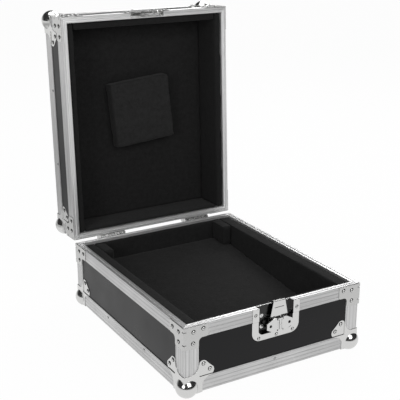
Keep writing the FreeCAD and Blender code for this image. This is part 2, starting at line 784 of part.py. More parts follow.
def hinge_leaf(name, way, bore):
    """A leaf below (way -1) or above (way 1) the axis of the closed hinge."""
    body = new_body(name + "_one")
    half = size.hinge_length / 2
    radius = size.knuckle_radius
    low_x, high_x = hinge_x - half, hinge_x + half
    face = -radius
    outer = face + size.leaf_sheet
    far = way * size.leaf_height
    plate_z = (far, Size(0, "0")) if way < 0 else (Size(0, "0"), far)
    pad(body, "XY", plate_z[0], plate_z[1], [rectangle(low_x, high_x, face, outer)])
    pad(body, "YZ", low_x, high_x, circles=[(0, 0, radius)])
    count = int(float(size.knuckles))
    segment = size.hinge_length / size.knuckles
    clear = radius + size.play
    mine = 0 if way < 0 else 1
    gaps = []
    for index in range(count):
        if index % 2 == mine:
            continue
        left = low_x + segment * index - size.play / 2
        right = low_x + segment * (index + 1) + size.play / 2
        left = left if index else left - size.overrun
        right = right if index + 1 < count else right + size.overrun
        gaps.append(rectangle(left, right, -clear, clear))
    pocket(body, "XZ", -clear, clear, gaps)
    half_angle = (HALF_TURN - size.open_angle) / 2
    along_y, along_z = sine(half_angle), way * cosine(half_angle)
    back_y_step = -size.stop_gap * cosine(half_angle)
    back_z_step = way * size.stop_gap * sine(half_angle)
    rib = [(outer - size.leaf_sheet / 2, way * size.stop_inner),
           (size.stop_inner * along_y + back_y_step, size.stop_inner * along_z + back_z_step),
           (size.stop_outer * along_y + back_y_step, size.stop_outer * along_z + back_z_step),
           (outer - size.leaf_sheet / 2, way * (size.leaf_height - size.leaf_sheet))]
    for start in (low_x, high_x - size.stop_width):
        pad(body, "YZ", start, start + size.stop_width, [rib])
    pocket(body, "YZ", low_x, high_x, circles=[(0, 0, bore)])
    return body


def hinges():
    """Two hinges: the base's leaves with their pins, and the lid's leaves that turn on them."""
    at_axis = moved(0, hinge_y, rim_z)
    base_leaf = hinge_leaf("hinge_base_leaves", -1, size.pin_radius)
    mirrored_set("hinge_base_leaves", base_leaf, (VECTOR_X,), case_frame * at_axis)
    lid_leaf = hinge_leaf("hinge_lid_leaves", 1, size.pin_radius + size.pin_play)
    mirrored_set("hinge_lid_leaves", lid_leaf, (VECTOR_X,), lid_frame * at_axis)
    pin = new_body("hinge_pins_one")
    half = size.hinge_length / 2
    pad(pin, "YZ", hinge_x - half, hinge_x + half, circles=[(0, 0, size.pin_radius)])
    mirrored_set("hinge_pins", pin, (VECTOR_X,), case_frame * at_axis)


# Latch

def dish(name, flange, recess, flange_round, way, finish, frame):
    """Pressed dish below (way -1) or above (way 1) the rim plane."""
    body = new_body(name)
    lip = rim_z + way * size.play / 2
    flange_end = rim_z + way * flange
    recess_end = rim_z + way * recess
    half, inside = size.dish_width / 2, size.recess_width / 2
    shell = inside + size.dish_sheet
    shell_round = size.recess_round + size.dish_sheet
    shell_end = recess_end + way * size.dish_sheet

    def tongue_shape(reach, end, radius, mouth):
        return [(-reach, mouth), (-reach, end, radius), (reach, end, radius), (reach, mouth)]

    pad(body, "XZ", front_y - size.dish_sheet, front_y, [tongue_shape(half, flange_end, flange_round, lip)])
    pad(body, "XZ", front_y, front_y + size.recess_depth + size.dish_sheet,
        [tongue_shape(shell, shell_end, shell_round, lip)])
    pocket(body, "XZ", front_y - size.dish_sheet - size.overrun, front_y + size.recess_depth,
           [tongue_shape(inside, recess_end, size.recess_round, rim_z - way * size.overrun)])
    finish(body)
    keep(name, body, frame)


def spindle_bearing(body):
    """Hole in the floor of the base's dish."""
    floor = front_y + size.recess_depth
    pocket(body, "XZ", floor - size.overrun, floor + size.dish_sheet + size.overrun,
           circles=[(size.latch_side, spindle_z, size.spindle_radius + size.running_play)])


def keeper_lip(body):
    """Lip of the lid's dish whose free edge the hook draws down on."""
    x = size.latch_side
    front = front_y + size.keeper_front
    back = front + size.hook_sheet
    floor = front_y + size.recess_depth
    bottom = rim_z + size.play
    foot_top = bottom + size.keeper_foot
    top = rim_z + size.keeper_top
    outline = [(front, bottom), (floor, bottom), (floor, foot_top), (back, foot_top), (back, top),
               (front, top)]
    pad(body, "YZ", x - size.keeper_half, x + size.keeper_half, [outline])


def latch_guides():
    """Two angle guides on the dish floor that hold the slide."""
    body = new_body("latch_guides_one")
    inner = size.slide_half + size.play
    outer = inner + size.guide_width
    lip_front = front_y + size.slide_start - size.play - size.guide_sheet
    lip_back = front_y + size.slide_start - size.play
    floor = front_y + size.recess_depth
    edge = inner - size.guide_lip
    pad(body, "XY", rim_z - size.guide_bottom, rim_z - size.guide_top,
        [[(inner, floor), (outer, floor), (outer, lip_front), (edge, lip_front), (edge, lip_back),
          (inner, lip_back)]])
    mirrored_set("latch_guides", body, (VECTOR_X,), case_frame * moved(size.latch_side, 0, 0))


def latch_spindle():
    """Head with wing pins, neck, eccentric disc and shaft."""
    body = new_body("latch_spindle")
    x, z = size.latch_side, spindle_z
    web, ear = size.head_web, size.head_ear_half
    top, shoulder = size.head_half, size.head_half - size.head_ear
    outline = [(x - ear, z - top), (x + ear, z - top), (x + ear, z - shoulder), (x + web, z - shoulder),
               (x + web, z + shoulder), (x + ear, z + shoulder), (x + ear, z + top), (x - ear, z + top),
               (x - ear, z + shoulder), (x - web, z + shoulder), (x - web, z - shoulder),
               (x - ear, z - shoulder)]
    pad(body, "XZ", front_y + size.head_front, front_y + size.head_back, [outline])
    disc_front = size.slide_start - size.play
    wing_middle = (size.wing_front + size.wing_back) / 2
    pad(body, "XZ", front_y + size.head_back, front_y + disc_front, circles=[(x, z, size.head_web)])
    pad(body, "XZ", front_y + disc_front, front_y + size.slide_end,
        circles=[(x, z - size.throw, size.disc_radius)])
    pad(body, "XZ", front_y + size.slide_end, front_y + size.recess_depth + size.dish_sheet,
        circles=[(x, z, size.spindle_radius)])
    pin_y = front_y + wing_middle
    pad(body, "XY", z - shoulder, z + shoulder,
        circles=[(x - size.wing_axis, pin_y, size.wing_pin), (x + size.wing_axis, pin_y, size.wing_pin)])
    keep("latch_spindle", body, case_frame)


def latch_wing(name, way):
    """Folding wing on one side of the head."""
    body = new_body(name)
    x, z = size.latch_side, spindle_z
    root, start, tip = size.wing_axis, size.wing_start, size.wing_reach
    shoulder = size.head_half - size.head_ear - size.play
    half, end, slope = size.wing_half, size.wing_tip, size.wing_reach - size.wing_taper
    half_outline = [(root, -shoulder), (start, -shoulder), (start, -half), (slope, -half),
                    (tip, -end), (tip, end), (slope, half), (start, half),
                    (start, shoulder), (root, shoulder)]
    outline = [(x + way * across, z + up) for across, up in half_outline]
    pad(body, "XZ", front_y + size.wing_front, front_y + size.wing_back, [outline])
    axis_x = x + way * size.wing_axis
    pin_y = front_y + (size.wing_front + size.wing_back) / 2
    pad(body, "XY", z - shoulder, z + shoulder, circles=[(axis_x, pin_y, size.wing_barrel)])
    pocket(body, "XY", z - shoulder - size.overrun, z + shoulder + size.overrun,
           circles=[(axis_x, pin_y, size.wing_pin + size.running_play)])
    pocket(body, "XZ", front_y + size.wing_front - size.overrun, front_y + size.wing_back + size.overrun,
           circles=[(x + way * size.wing_hole_at, z, size.wing_hole)])
    keep(name, body, case_frame)


def latch_slide():
    """Slide plate with a slot for the disc and two ears for the hook pivot."""
    body = new_body("latch_slide")
    x = size.latch_side
    plate_front, plate_back = front_y + size.slide_start, front_y + size.slide_end
    half, top, bottom = size.slide_half, rim_z - size.slide_top, rim_z - size.slide_bottom
    notch = size.hook_tab + size.play
    notch_bottom = rim_z - size.pivot_drop - size.ear_radius - size.play
    outline = [(x - half, bottom), (x + half, bottom), (x + half, top), (x + notch, top),
               (x + notch, notch_bottom), (x - notch, notch_bottom), (x - notch, top), (x - half, top)]
    pad(body, "XZ", plate_front, plate_back, [outline])
    slot_half = size.throw + size.disc_radius + size.play
    slot_rise = size.disc_radius + size.slot_play
    slot_middle = spindle_z - size.throw
    pocket(body, "XZ", plate_front - size.overrun, plate_back + size.overrun,
           [rectangle(x - slot_half, x + slot_half, slot_middle - slot_rise, slot_middle + slot_rise)])
    pivot_y, pivot_z = front_y + size.pivot_depth, rim_z - size.pivot_drop
    for low in (x - notch - size.ear_width, x + notch):
        high = low + size.ear_width
        pad(body, "YZ", low, high, [rectangle(pivot_y, plate_front, pivot_z - size.ear_radius,
                                              pivot_z + size.ear_radius)])
        pad(body, "YZ", low, high, circles=[(pivot_y, pivot_z, size.ear_radius)])
    pad(body, "YZ", x - notch, x + notch, circles=[(pivot_y, pivot_z, size.pivot_radius)])
    keep("latch_slide", body, case_frame)


def latch_hook():
    """Draw hook: a plate with a curl at the top and a barrel at the foot."""
    body = new_body("latch_hook")
    x, sheet_wall = size.latch_side, size.hook_sheet
    front, back = front_y + size.hook_front, front_y + size.hook_front + size.hook_sheet
    lip_front = back + size.hook_gap
    lip_back = lip_front + sheet_wall
    top, root, lip = rim_z + size.hook_top, rim_z - size.hook_root, rim_z + size.hook_lip
    outline = [(front, root), (back, root), (back, top - sheet_wall), (lip_front, top - sheet_wall),
               (lip_front, lip), (lip_back, lip), (lip_back, top, sheet_wall), (front, top, sheet_wall)]
    foot = size.hook_half + size.hook_spread
    pad(body, "YZ", x - foot, x + foot, [outline])
    cut = top + size.overrun
    for way in (-1, 1):
        side = [(x + way * foot, root), (x + way * size.hook_half, top), (x + way * size.hook_half, cut),
                (x + way * (foot + size.overrun), cut), (x + way * (foot + size.overrun), root)]
        pocket(body, "XZ", front - size.overrun, lip_back + size.overrun, [side])
    pivot_y, pivot_z = front_y + size.pivot_depth, rim_z - size.pivot_drop
    tab_low, tab_high = x - size.hook_tab, x + size.hook_tab
    pad(body, "YZ", tab_low, tab_high, [rectangle(front, back, pivot_z, root)])
    pad(body, "YZ", tab_low, tab_high, circles=[(pivot_y, pivot_z, size.hook_barrel)])
    pocket(body, "YZ", tab_low - size.overrun, tab_high + size.overrun,
           circles=[(pivot_y, pivot_z, size.pivot_radius + size.running_play)])
    keep("latch_hook", body, case_frame)


# Carrying handle

def handle():
    """Plate, bail and grip on the right side, between the rails."""
    plate_x = size.width / 2 - size.rail
    axis_x = size.width / 2 + size.bail_stand
    low = size.edge_leg + size.plate_margin
    high = size.base_height - size.rim_flange - size.plate_margin
    axis_z = high - size.bail_inset
    drop = axis_z - low - size.grip_inset
    handle_plate(plate_x, axis_x, axis_z, low, high)
    handle_bail(axis_x, axis_z, drop)
    grip = new_body("handle_grip")
    half, bar, thickness = size.grip_width / 2, size.bail_bar / 2, size.bail_thickness / 2
    corner = size.grip_round
    pad(grip, "XZ", -size.grip_half, size.grip_half,
        [[(-half, -half, corner), (half, -half, corner), (half, half, corner), (-half, half, corner)],
         rectangle(-thickness, thickness, -bar, bar)])
    keep("handle_grip", grip, case_frame * moved(axis_x, 0, axis_z - drop))


def handle_plate(plate_x, axis_x, axis_z, low, high):
    """Plate on the panel with two ears that hold the bail."""
    half, corner = size.plate_length / 2, size.plate_round
    plate = new_body("handle_plate")
    pad(plate, "YZ", plate_x, plate_x + size.rail,
        [[(-half, low, corner), (half, low, corner), (half, high, corner), (-half, high, corner)]])
    edge = axis_x + size.bracket_half
    bottom, top = axis_z - size.bracket_half, axis_z + size.bracket_half
    start_x = plate_x + size.rail
    ear = [(start_x, bottom), (edge, bottom, size.bail_pivot), (edge, top, size.bail_pivot), (start_x, top)]
    for start, stop in ((size.bracket_start, size.bracket_end), (-size.bracket_end, -size.bracket_start)):
        pad(plate, "XZ", start, stop, [ear])
    pocket(plate, "XZ", -size.bracket_end - size.overrun, size.bracket_end + size.overrun,
           circles=[(axis_x, axis_z, size.bail_pivot + size.bail_play)])
    keep("handle_plate", plate, case_frame)


def handle_bail(axis_x, axis_z, drop):
    """Flat bar bent to a U, with round pivots at its ends."""
    bail = new_body("handle_bail")
    outer, bar = size.bail_half, size.bail_bar
    inner = outer - bar
    top, bottom = size.bail_pivot, -drop - bar / 2
    outline = [(-outer, top), (-outer, bottom, size.bail_round), (outer, bottom, size.bail_round),
               (outer, top), (inner, top), (inner, bottom + bar, size.bail_bend),
               (-inner, bottom + bar, size.bail_bend), (-inner, top)]
    pad(bail, "YZ", -size.bail_thickness / 2, size.bail_thickness / 2, [outline])
    for start, stop in ((outer - bar / 2, size.bracket_end), (-size.bracket_end, bar / 2 - outer)):
        pad(bail, "XZ", start, stop, circles=[(0, 0, size.bail_pivot)])
    keep("handle_bail", bail, case_frame * moved(axis_x, 0, axis_z))


build_tray("base", size.base_height, SAME_SIDES, "groove", size.recess_drop, case_frame)
build_tray("lid", size.lid_height, TURNED_SIDES, "tongue", size.recess_rise, lid_tray_frame)
rubber_feet()
base_foams()
lid_foams()
hinges()
dish("latch_dish", size.dish_drop, size.recess_drop, size.dish_round, -1, spindle_bearing, case_frame)
dish("keeper_dish", size.keeper_rise, size.recess_rise, size.keeper_round, 1, keeper_lip, lid_frame)
latch_guides()
latch_spindle()
latch_wing("latch_left_wing", -1)
latch_wing("latch_right_wing", 1)
latch_slide()
latch_hook()
handle()
document.recompute()


def volume_before(feature):
    base = feature.BaseFeature
    return base.Shape.Volume if base else 0


for item in document.Objects:
    if "Invalid" in item.State or "Error" in item.State:
        raise RuntimeError(f"{item.Label} did not build: {item.State}")
    if item.TypeId == "PartDesign::Pocket" and item.Shape.Volume >= volume_before(item):
        raise RuntimeError(f"{item.Label} cut nothing")

os.makedirs("parts", exist_ok=True)
for name, piece in pieces.items():
    if piece.Shape.isNull() or not piece.Shape.isValid() or not piece.Shape.Solids:
        raise RuntimeError(f"{name} has no valid solid")
    piece.Shape.exportStep(os.path.join("parts", name + ".step"))
print(len(pieces), "sub-parts written")
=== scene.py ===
import json
import math

import bpy
from bpy.props import FloatProperty, FloatVectorProperty, PointerProperty
from mathutils import Matrix, Vector


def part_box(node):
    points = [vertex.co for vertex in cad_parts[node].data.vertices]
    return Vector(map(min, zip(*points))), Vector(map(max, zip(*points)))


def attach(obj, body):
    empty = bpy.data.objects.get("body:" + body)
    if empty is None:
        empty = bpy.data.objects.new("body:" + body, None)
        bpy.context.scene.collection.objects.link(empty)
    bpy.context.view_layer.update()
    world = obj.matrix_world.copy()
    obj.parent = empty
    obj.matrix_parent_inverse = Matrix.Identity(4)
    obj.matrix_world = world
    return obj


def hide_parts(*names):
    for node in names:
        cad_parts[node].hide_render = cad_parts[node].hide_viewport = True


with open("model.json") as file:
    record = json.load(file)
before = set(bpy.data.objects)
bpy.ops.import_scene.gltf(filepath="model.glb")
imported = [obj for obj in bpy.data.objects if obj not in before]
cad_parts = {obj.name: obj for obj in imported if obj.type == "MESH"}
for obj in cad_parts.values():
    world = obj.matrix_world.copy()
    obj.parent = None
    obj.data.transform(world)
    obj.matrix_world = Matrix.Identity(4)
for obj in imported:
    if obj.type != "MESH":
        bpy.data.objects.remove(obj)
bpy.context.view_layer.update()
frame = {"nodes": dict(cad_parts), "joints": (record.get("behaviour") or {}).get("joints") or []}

bl_info = {
    "name": "Mixer flight case",
    "version": (1, 0, 0),
    "blender": (4, 5, 0),
    "location": "View3D > Sidebar > Flight case",
    "description": "Finishes, foam, rivets and small fittings of a flight case for a DJ mixer",
    "category": "Object",
}

MM = 0.001


# The case as the frame gives it

def joint_named(name):
    """The frame's joint of that name."""
    return next(joint for joint in frame["joints"] if joint["name"] == name)


front_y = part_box("base_front_rim")[0][1]
back_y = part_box("base_back_rim")[1][1]
left_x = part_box("base_left_rim")[0][0]
right_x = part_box("base_right_rim")[1][0]
rim_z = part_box("base_front_rim")[1][2]
base_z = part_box("base_bottom_panel")[0][2]
# At rest the lid stands open, so its height when shut is given here
lid_height = 98 * MM
latch_x = (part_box("latch_spindle")[0][0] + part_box("latch_spindle")[1][0]) / 2
spindle_z = (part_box("latch_spindle")[0][2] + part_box("latch_spindle")[1][2]) / 2
hinge_joint = joint_named("lid_hinge")
hinge_point = Vector(hinge_joint["pos_m"])
open_angle = math.radians(hinge_joint["range_deg"][1])

# Carries a place on the shut lid to where it is at rest, with the lid open
SWING = (
    Matrix.Translation(hinge_point)
    @ Matrix.Rotation(-open_angle, 4, "X")
    @ Matrix.Translation(-hinge_point)
)

WALLS = ["front", "back", "left", "right"]


# Small tools

def linear(hex_colour):
    """The linear colour of an sRGB hex value."""
    channels = [int(hex_colour[place:place + 2], 16) / 255 for place in (1, 3, 5)]
    return [value / 12.92 if value <= 0.04045 else ((value + 0.055) / 1.055) ** 2.4 for value in channels]


def add_node(tree, kind, settings=None, links=None):
    """Adds a node, sets its sockets or its own settings, and joins its inputs to other nodes' outputs."""
    node = tree.nodes.new(kind)
    for name, value in (settings or {}).items():
        if isinstance(name, int) or name in node.inputs:
            node.inputs[name].default_value = value
        else:
            setattr(node, name, value)
    for name, source in (links or {}).items():
        tree.links.new(source, node.inputs[name])
    return node


def new_material(name, shader_settings):
    """A material with one Principled shader joined to its output."""
    material = bpy.data.materials.new(name)
    material.use_nodes = True
    tree = material.node_tree
    tree.nodes.clear()
    shader = add_node(tree, "ShaderNodeBsdfPrincipled", shader_settings)
    add_node(tree, "ShaderNodeOutputMaterial", links={"Surface": shader.outputs["BSDF"]})
    return material, tree, shader


def finish_nodes(material, names):
    """Gives the CAD nodes of those names this finish."""
    for name in names:
        node = frame["nodes"][name]
        node.data.materials.clear()
        node.data.materials.append(material)


def select_only(piece):
    """Leaves edit mode and selects one piece, or none."""
    if bpy.context.object and bpy.context.object.mode != "OBJECT":
        bpy.ops.object.mode_set(mode="OBJECT")
    bpy.ops.object.select_all(action="DESELECT")
    if piece:
        piece.select_set(True)
        bpy.context.view_layer.objects.active = piece


def turned(rings, sides):
    """A smooth turned piece standing on z 0, from its foot's edge to the middle of its top. Its rings are
    pairs of radius and height."""
    select_only(None)
    radius, height = rings[0]
    bpy.ops.mesh.primitive_circle_add(
        vertices=sides, radius=radius, fill_type="NGON", location=(0, 0, height))
    piece = bpy.context.object
    bpy.ops.object.transform_apply(location=True)
    bpy.ops.object.mode_set(mode="EDIT")
    bpy.ops.mesh.select_mode(type="FACE")
    bpy.ops.mesh.select_all(action="SELECT")
    for next_radius, next_height in rings[1:]:
        bpy.ops.mesh.extrude_region_move(TRANSFORM_OT_translate={"value": (0, 0, next_height - height)})
        share = next_radius / radius
        bpy.ops.transform.resize(value=(share, share, 1))
        radius, height = next_radius, next_height
    bpy.ops.mesh.select_all(action="SELECT")
    bpy.ops.mesh.normals_make_consistent(inside=False)
    bpy.ops.object.mode_set(mode="OBJECT")
    smooth(piece)
    return piece


def merged_copy(name, node, flat_angle=0.5):
    """A copy of a CAD node, its loose triangles merged and its flat faces made whole."""
    piece = bpy.data.objects.new(name, frame["nodes"][node].data.copy())
    bpy.context.scene.collection.objects.link(piece)
    select_only(piece)
    bpy.ops.object.mode_set(mode="EDIT")
    bpy.ops.mesh.select_all(action="SELECT")
    bpy.ops.mesh.remove_doubles(threshold=0.002 * MM)
    bpy.ops.mesh.dissolve_limited(angle_limit=math.radians(flat_angle))
    bpy.ops.object.mode_set(mode="OBJECT")
    return piece


def soften(piece, width):
    """Small rounded bevels of that many millimetres on the sharp edges, then smooth shading that keeps the
    flat faces flat."""
    select_only(piece)
    edge = piece.modifiers.new("edge", "BEVEL")
    edge.width, edge.segments, edge.limit_method = width * MM, 2, "ANGLE"
    edge.angle_limit = math.radians(40)
    bpy.ops.object.modifier_apply(modifier="edge")
    smooth(piece, angle=32)
    weighted = piece.modifiers.new("flat_faces", "WEIGHTED_NORMAL")
    weighted.keep_sharp = True
    bpy.ops.object.modifier_apply(modifier="flat_faces")


def dressed(node, body, material, bevel=0.3, second=None, takes_second=None):
    """A CAD node's piece with softened edges, in the node's place."""
    piece = merged_copy("fine_" + node, node)
    soften(piece, bevel)
    fit(piece, body, material, second, takes_second)
    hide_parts(node)
    return piece


def select_where(piece, kind, test):
    """In edit mode, selects only the vertices or faces that pass the test."""
    bpy.ops.mesh.select_mode(type="VERT" if kind == "vertices" else "FACE")
    bpy.ops.mesh.select_all(action="DESELECT")
    bpy.ops.object.mode_set(mode="OBJECT")
    for item in getattr(piece.data, kind):
        item.select = test(item)
    bpy.ops.object.mode_set(mode="EDIT")


def smooth(piece, angle=35):
    """Smooth shading with an edge wherever two faces meet at more than the angle."""
    select_only(piece)
    bpy.ops.object.shade_smooth_by_angle(angle=math.radians(angle))


def copies(first, name, places):
    """One piece made of copies of the first, each with its own mesh put in its place, joined."""
    made = []
    for place in places:
        piece = first.copy()
        piece.data = first.data.copy()
        bpy.context.scene.collection.objects.link(piece)
        piece.data.transform(place)
        made.append(piece)
    select_only(made[0])
    for piece in made[1:]:
        piece.select_set(True)
    if len(made) > 1:
        bpy.ops.object.join()
    made[0].name = made[0].data.name = name
    return made[0]


def discard(piece):
    """Deletes a piece with its mesh."""
    mesh = piece.data
    bpy.data.objects.remove(piece)
    bpy.data.meshes.remove(mesh)


def fit(piece, body, material, second=None, takes_second=None):
    """Puts a finished piece on its body with its material slot and finish, and a second finish on the
    faces that pass the test."""
    piece.data.materials.clear()
    piece.data.materials.append(material)
    if second:
        piece.data.materials.append(second)
        for face in piece.data.polygons:
            face.material_index = int(takes_second(face))
    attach(piece, body)
    return piece


def placed(first, name, places, body, material):
    """Copies of a first piece in their places on a body; the first itself is thrown away."""
    piece = copies(first, name, places)
    discard(first)
    return fit(piece, body, material)


def standing(x, y, z, normal, swing=None):
    """The place of a piece that stands on a face, its own z along the face's normal."""
    turn = Vector(normal).to_track_quat("Z", "Y").to_matrix().to_4x4()
    place = Matrix.Translation((x, y, z)) @ turn
    return swing @ place if swing else place


# Sizes and colours

class CaseFinish(bpy.types.PropertyGroup):
    """Colours of the case's materials."""

    aluminium: FloatVectorProperty(
        name="Aluminium", description="Anodised rails", subtype="COLOR", size=3,
        default=linear("#F6F6F6"), min=0, max=1)
    steel: FloatVectorProperty(
        name="Steel", description="Plated corners, latch, hinges, handle and rivets", subtype="COLOR",
        size=3, default=linear("#CFCFCE"), min=0, max=1)
    laminate: FloatVectorProperty(
        name="Laminate", description="Black faced plywood", subtype="COLOR", size=3,
        default=linear("#0A0A0C"), min=0, max=1)
    foam: FloatVectorProperty(
        name="Foam", description="Charcoal foam", subtype="COLOR", size=3,
        default=linear("#191919"), min=0, max=1)
    rubber: FloatVectorProperty(
        name="Rubber", description="Feet and grip", subtype="COLOR", size=3,
        default=linear("#1C1C1D"), min=0, max=1)


class CaseSizes(bpy.types.PropertyGroup):
    """Sizes of the small parts that the case's solids leave out."""

    rivet_radius: FloatProperty(
        name="Rivet radius", description="Radius of a rivet head", unit="LENGTH", default=4.6 * MM)
    rivet_height: FloatProperty(
        name="Rivet height", description="Height of a rivet head", unit="LENGTH", default=2.1 * MM)
    groove_pitch: FloatProperty(
        name="Groove pitch", description="Spacing of the grooves in a rail's outer faces", unit="LENGTH",
        default=8 * MM)
    foam_voxel: FloatProperty(
        name="Foam grid", description="Spacing of the foam's mesh", unit="LENGTH", default=4 * MM)
    foam_wave: FloatProperty(
        name="Foam wave", description="Unevenness of the cut foam", unit="LENGTH", default=0.6 * MM)


class CaseStudio(bpy.types.PropertyGroup):
    """Lights of the plain studio."""

    top_power: FloatProperty(
        name="Top light", description="Power of the overhead softbox", unit="POWER", default=26)
    front_power: FloatProperty(
        name="Front light", description="Power of the softbox in front", unit="POWER", default=30)
    back_power: FloatProperty(
        name="Back light", description="Power of the softbox behind and above the lid", unit="POWER",
        default=34)
    side_power: FloatProperty(
        name="Side light", description="Power of the strip light on the left", unit="POWER", default=20)
    fill: FloatProperty(
        name="Fill", description="Strength of the room's even light", default=0.35, min=0)


# Studio

class CASE_OT_studio(bpy.types.Operator):
    """Sets the floor, the white surroundings, the soft lights and the camera"""

    bl_idname = "case.studio"
    bl_label = "Studio"

    def execute(self, context):
        studio = context.scene.case_studio
        select_only(None)
        bpy.ops.mesh.primitive_plane_add(size=30)
        floor = context.object
        floor.name = floor.data.name = "studio_floor"
        floor.data.materials.append(paper_floor())
        context.scene.world = white_room(studio.fill)
        self.softbox(
            "top_softbox", place=(-0.2, 0.3, 2.6), target=(0, 0, 0.2), size=(2.2, 1.8),
            power=studio.top_power, shine=0.6)
        self.softbox(
            "front_softbox", place=(0.1, -2.3, 1.7), target=(0, -0.1, 0.1), size=(1.5, 1.5),
            power=studio.front_power)
        self.softbox(
            "back_softbox", place=(1.4, 1.5, 2.1), target=(0, -0.1, 0.15), size=(1.6, 1.3),
            power=studio.back_power, shine=0.25)
        self.softbox(
            "side_strip", place=(-2.1, -1.3, 1.1), target=(0, 0.1, 0.3), size=(0.8, 1.2),
            power=studio.side_power)
        self.camera(context.scene)
        context.scene.view_settings.view_transform = "Standard"
        return {"FINISHED"}

    def softbox(self, name, place, target, size, power, shine=1):
        """A soft lamp; its shine is how strongly metal mirrors it."""
        lamp = bpy.data.lights.new(name, "AREA")
        lamp.shape = "RECTANGLE"
        lamp.size, lamp.size_y = size
        lamp.energy, lamp.specular_factor = power, shine
        box = bpy.data.objects.new(name, lamp)
        box.location = place
        box.rotation_euler = (Vector(target) - Vector(place)).to_track_quat("-Z", "Y").to_euler()
        bpy.context.scene.collection.objects.link(box)

    def camera(self, scene):
        """A long lens at the photograph's viewing angle."""
        lens = bpy.data.cameras.new("camera")
        lens.lens = 80.8
        lens.sensor_width = 36
        lens.shift_x, lens.shift_y = 0.00852, 0.0001
        camera = bpy.data.objects.new("camera", lens)
        camera.location = (-0.9254, -1.5907, 0.8919)
        camera.rotation_euler = (math.radians(71.451), 0, math.radians(-30.27))
        scene.collection.objects.link(camera)
        scene.camera = camera


def paper_floor():
    """A sheet of matt white paper: a camera sees it nearly white with the object's soft shadow left on
    it. Metal mirrors it as a painted glow that stands in for the lamps' light, brightest close to the case
    and far off."""
    seen_share, dimmest = 0.97, 0.5
    # Metres from the case between which the painted glow seen in reflections fades, and then brightens
    # again
    fades, brightens = (0.25, 0.8), (0.9, 2.8)
    middle = (0, (front_y + back_y) / 2, 0)
    half_size = ((right_x - left_x) / 2, (back_y - front_y) / 2, 0)
    material, tree, shader = new_material("white_paper", {
        "Base Color": linear("#D9D9D9") + [1], "Roughness": 0.9})
    path = add_node(tree, "ShaderNodeLightPath")
    seen = add_node(tree, "ShaderNodeMath", {"operation": "MAXIMUM"}, {
        0: path.outputs["Is Camera Ray"], 1: path.outputs["Is Glossy Ray"]})
    seen = add_node(tree, "ShaderNodeMath", {"operation": "MAXIMUM"}, {
        0: seen.outputs[0], 1: path.outputs["Is Transmission Ray"]})
    share = add_node(tree, "ShaderNodeMath", {"operation": "MULTIPLY", 1: seen_share}, {0: seen.outputs[0]})
    coordinate = add_node(tree, "ShaderNodeTexCoord")
    from_case = add_node(tree, "ShaderNodeVectorMath", {"operation": "SUBTRACT", 1: middle},
                         {0: coordinate.outputs["Object"]})
    across = add_node(tree, "ShaderNodeVectorMath", {"operation": "ABSOLUTE"}, {0: from_case.outputs[0]})
    beside = add_node(tree, "ShaderNodeVectorMath", {"operation": "SUBTRACT", 1: half_size},
                      {0: across.outputs[0]})
    parts = add_node(tree, "ShaderNodeSeparateXYZ", links={0: beside.outputs[0]})
    away = add_node(tree, "ShaderNodeMath", {"operation": "MAXIMUM"}, {
        0: parts.outputs[0], 1: parts.outputs[1]})
    near = add_node(tree, "ShaderNodeMapRange", {
        "From Min": fades[0], "From Max": fades[1], "To Min": 1, "To Max": dimmest},
        {"Value": away.outputs[0]})
    far = add_node(tree, "ShaderNodeMapRange", {
        "From Min": brightens[0], "From Max": brightens[1], "To Min": 0, "To Max": 1 - dimmest},
        {"Value": away.outputs[0]})
    painted_glow = add_node(tree, "ShaderNodeMath", {"operation": "ADD"}, {
        0: near.outputs["Result"], 1: far.outputs["Result"]})
    strength = add_node(tree, "ShaderNodeMix", {2: 1}, {
        0: path.outputs["Is Glossy Ray"], 3: painted_glow.outputs[0]})
    glow = add_node(tree, "ShaderNodeEmission", {"Color": (1, 1, 1, 1)}, {"Strength": strength.outputs[0]})
    both = add_node(tree, "ShaderNodeMixShader", links={
        0: share.outputs[0], 1: shader.outputs[0], 2: glow.outputs[0]})
    output = next(node for node in tree.nodes if node.type == "OUTPUT_MATERIAL")
    tree.links.new(both.outputs[0], output.inputs["Surface"])
    return material


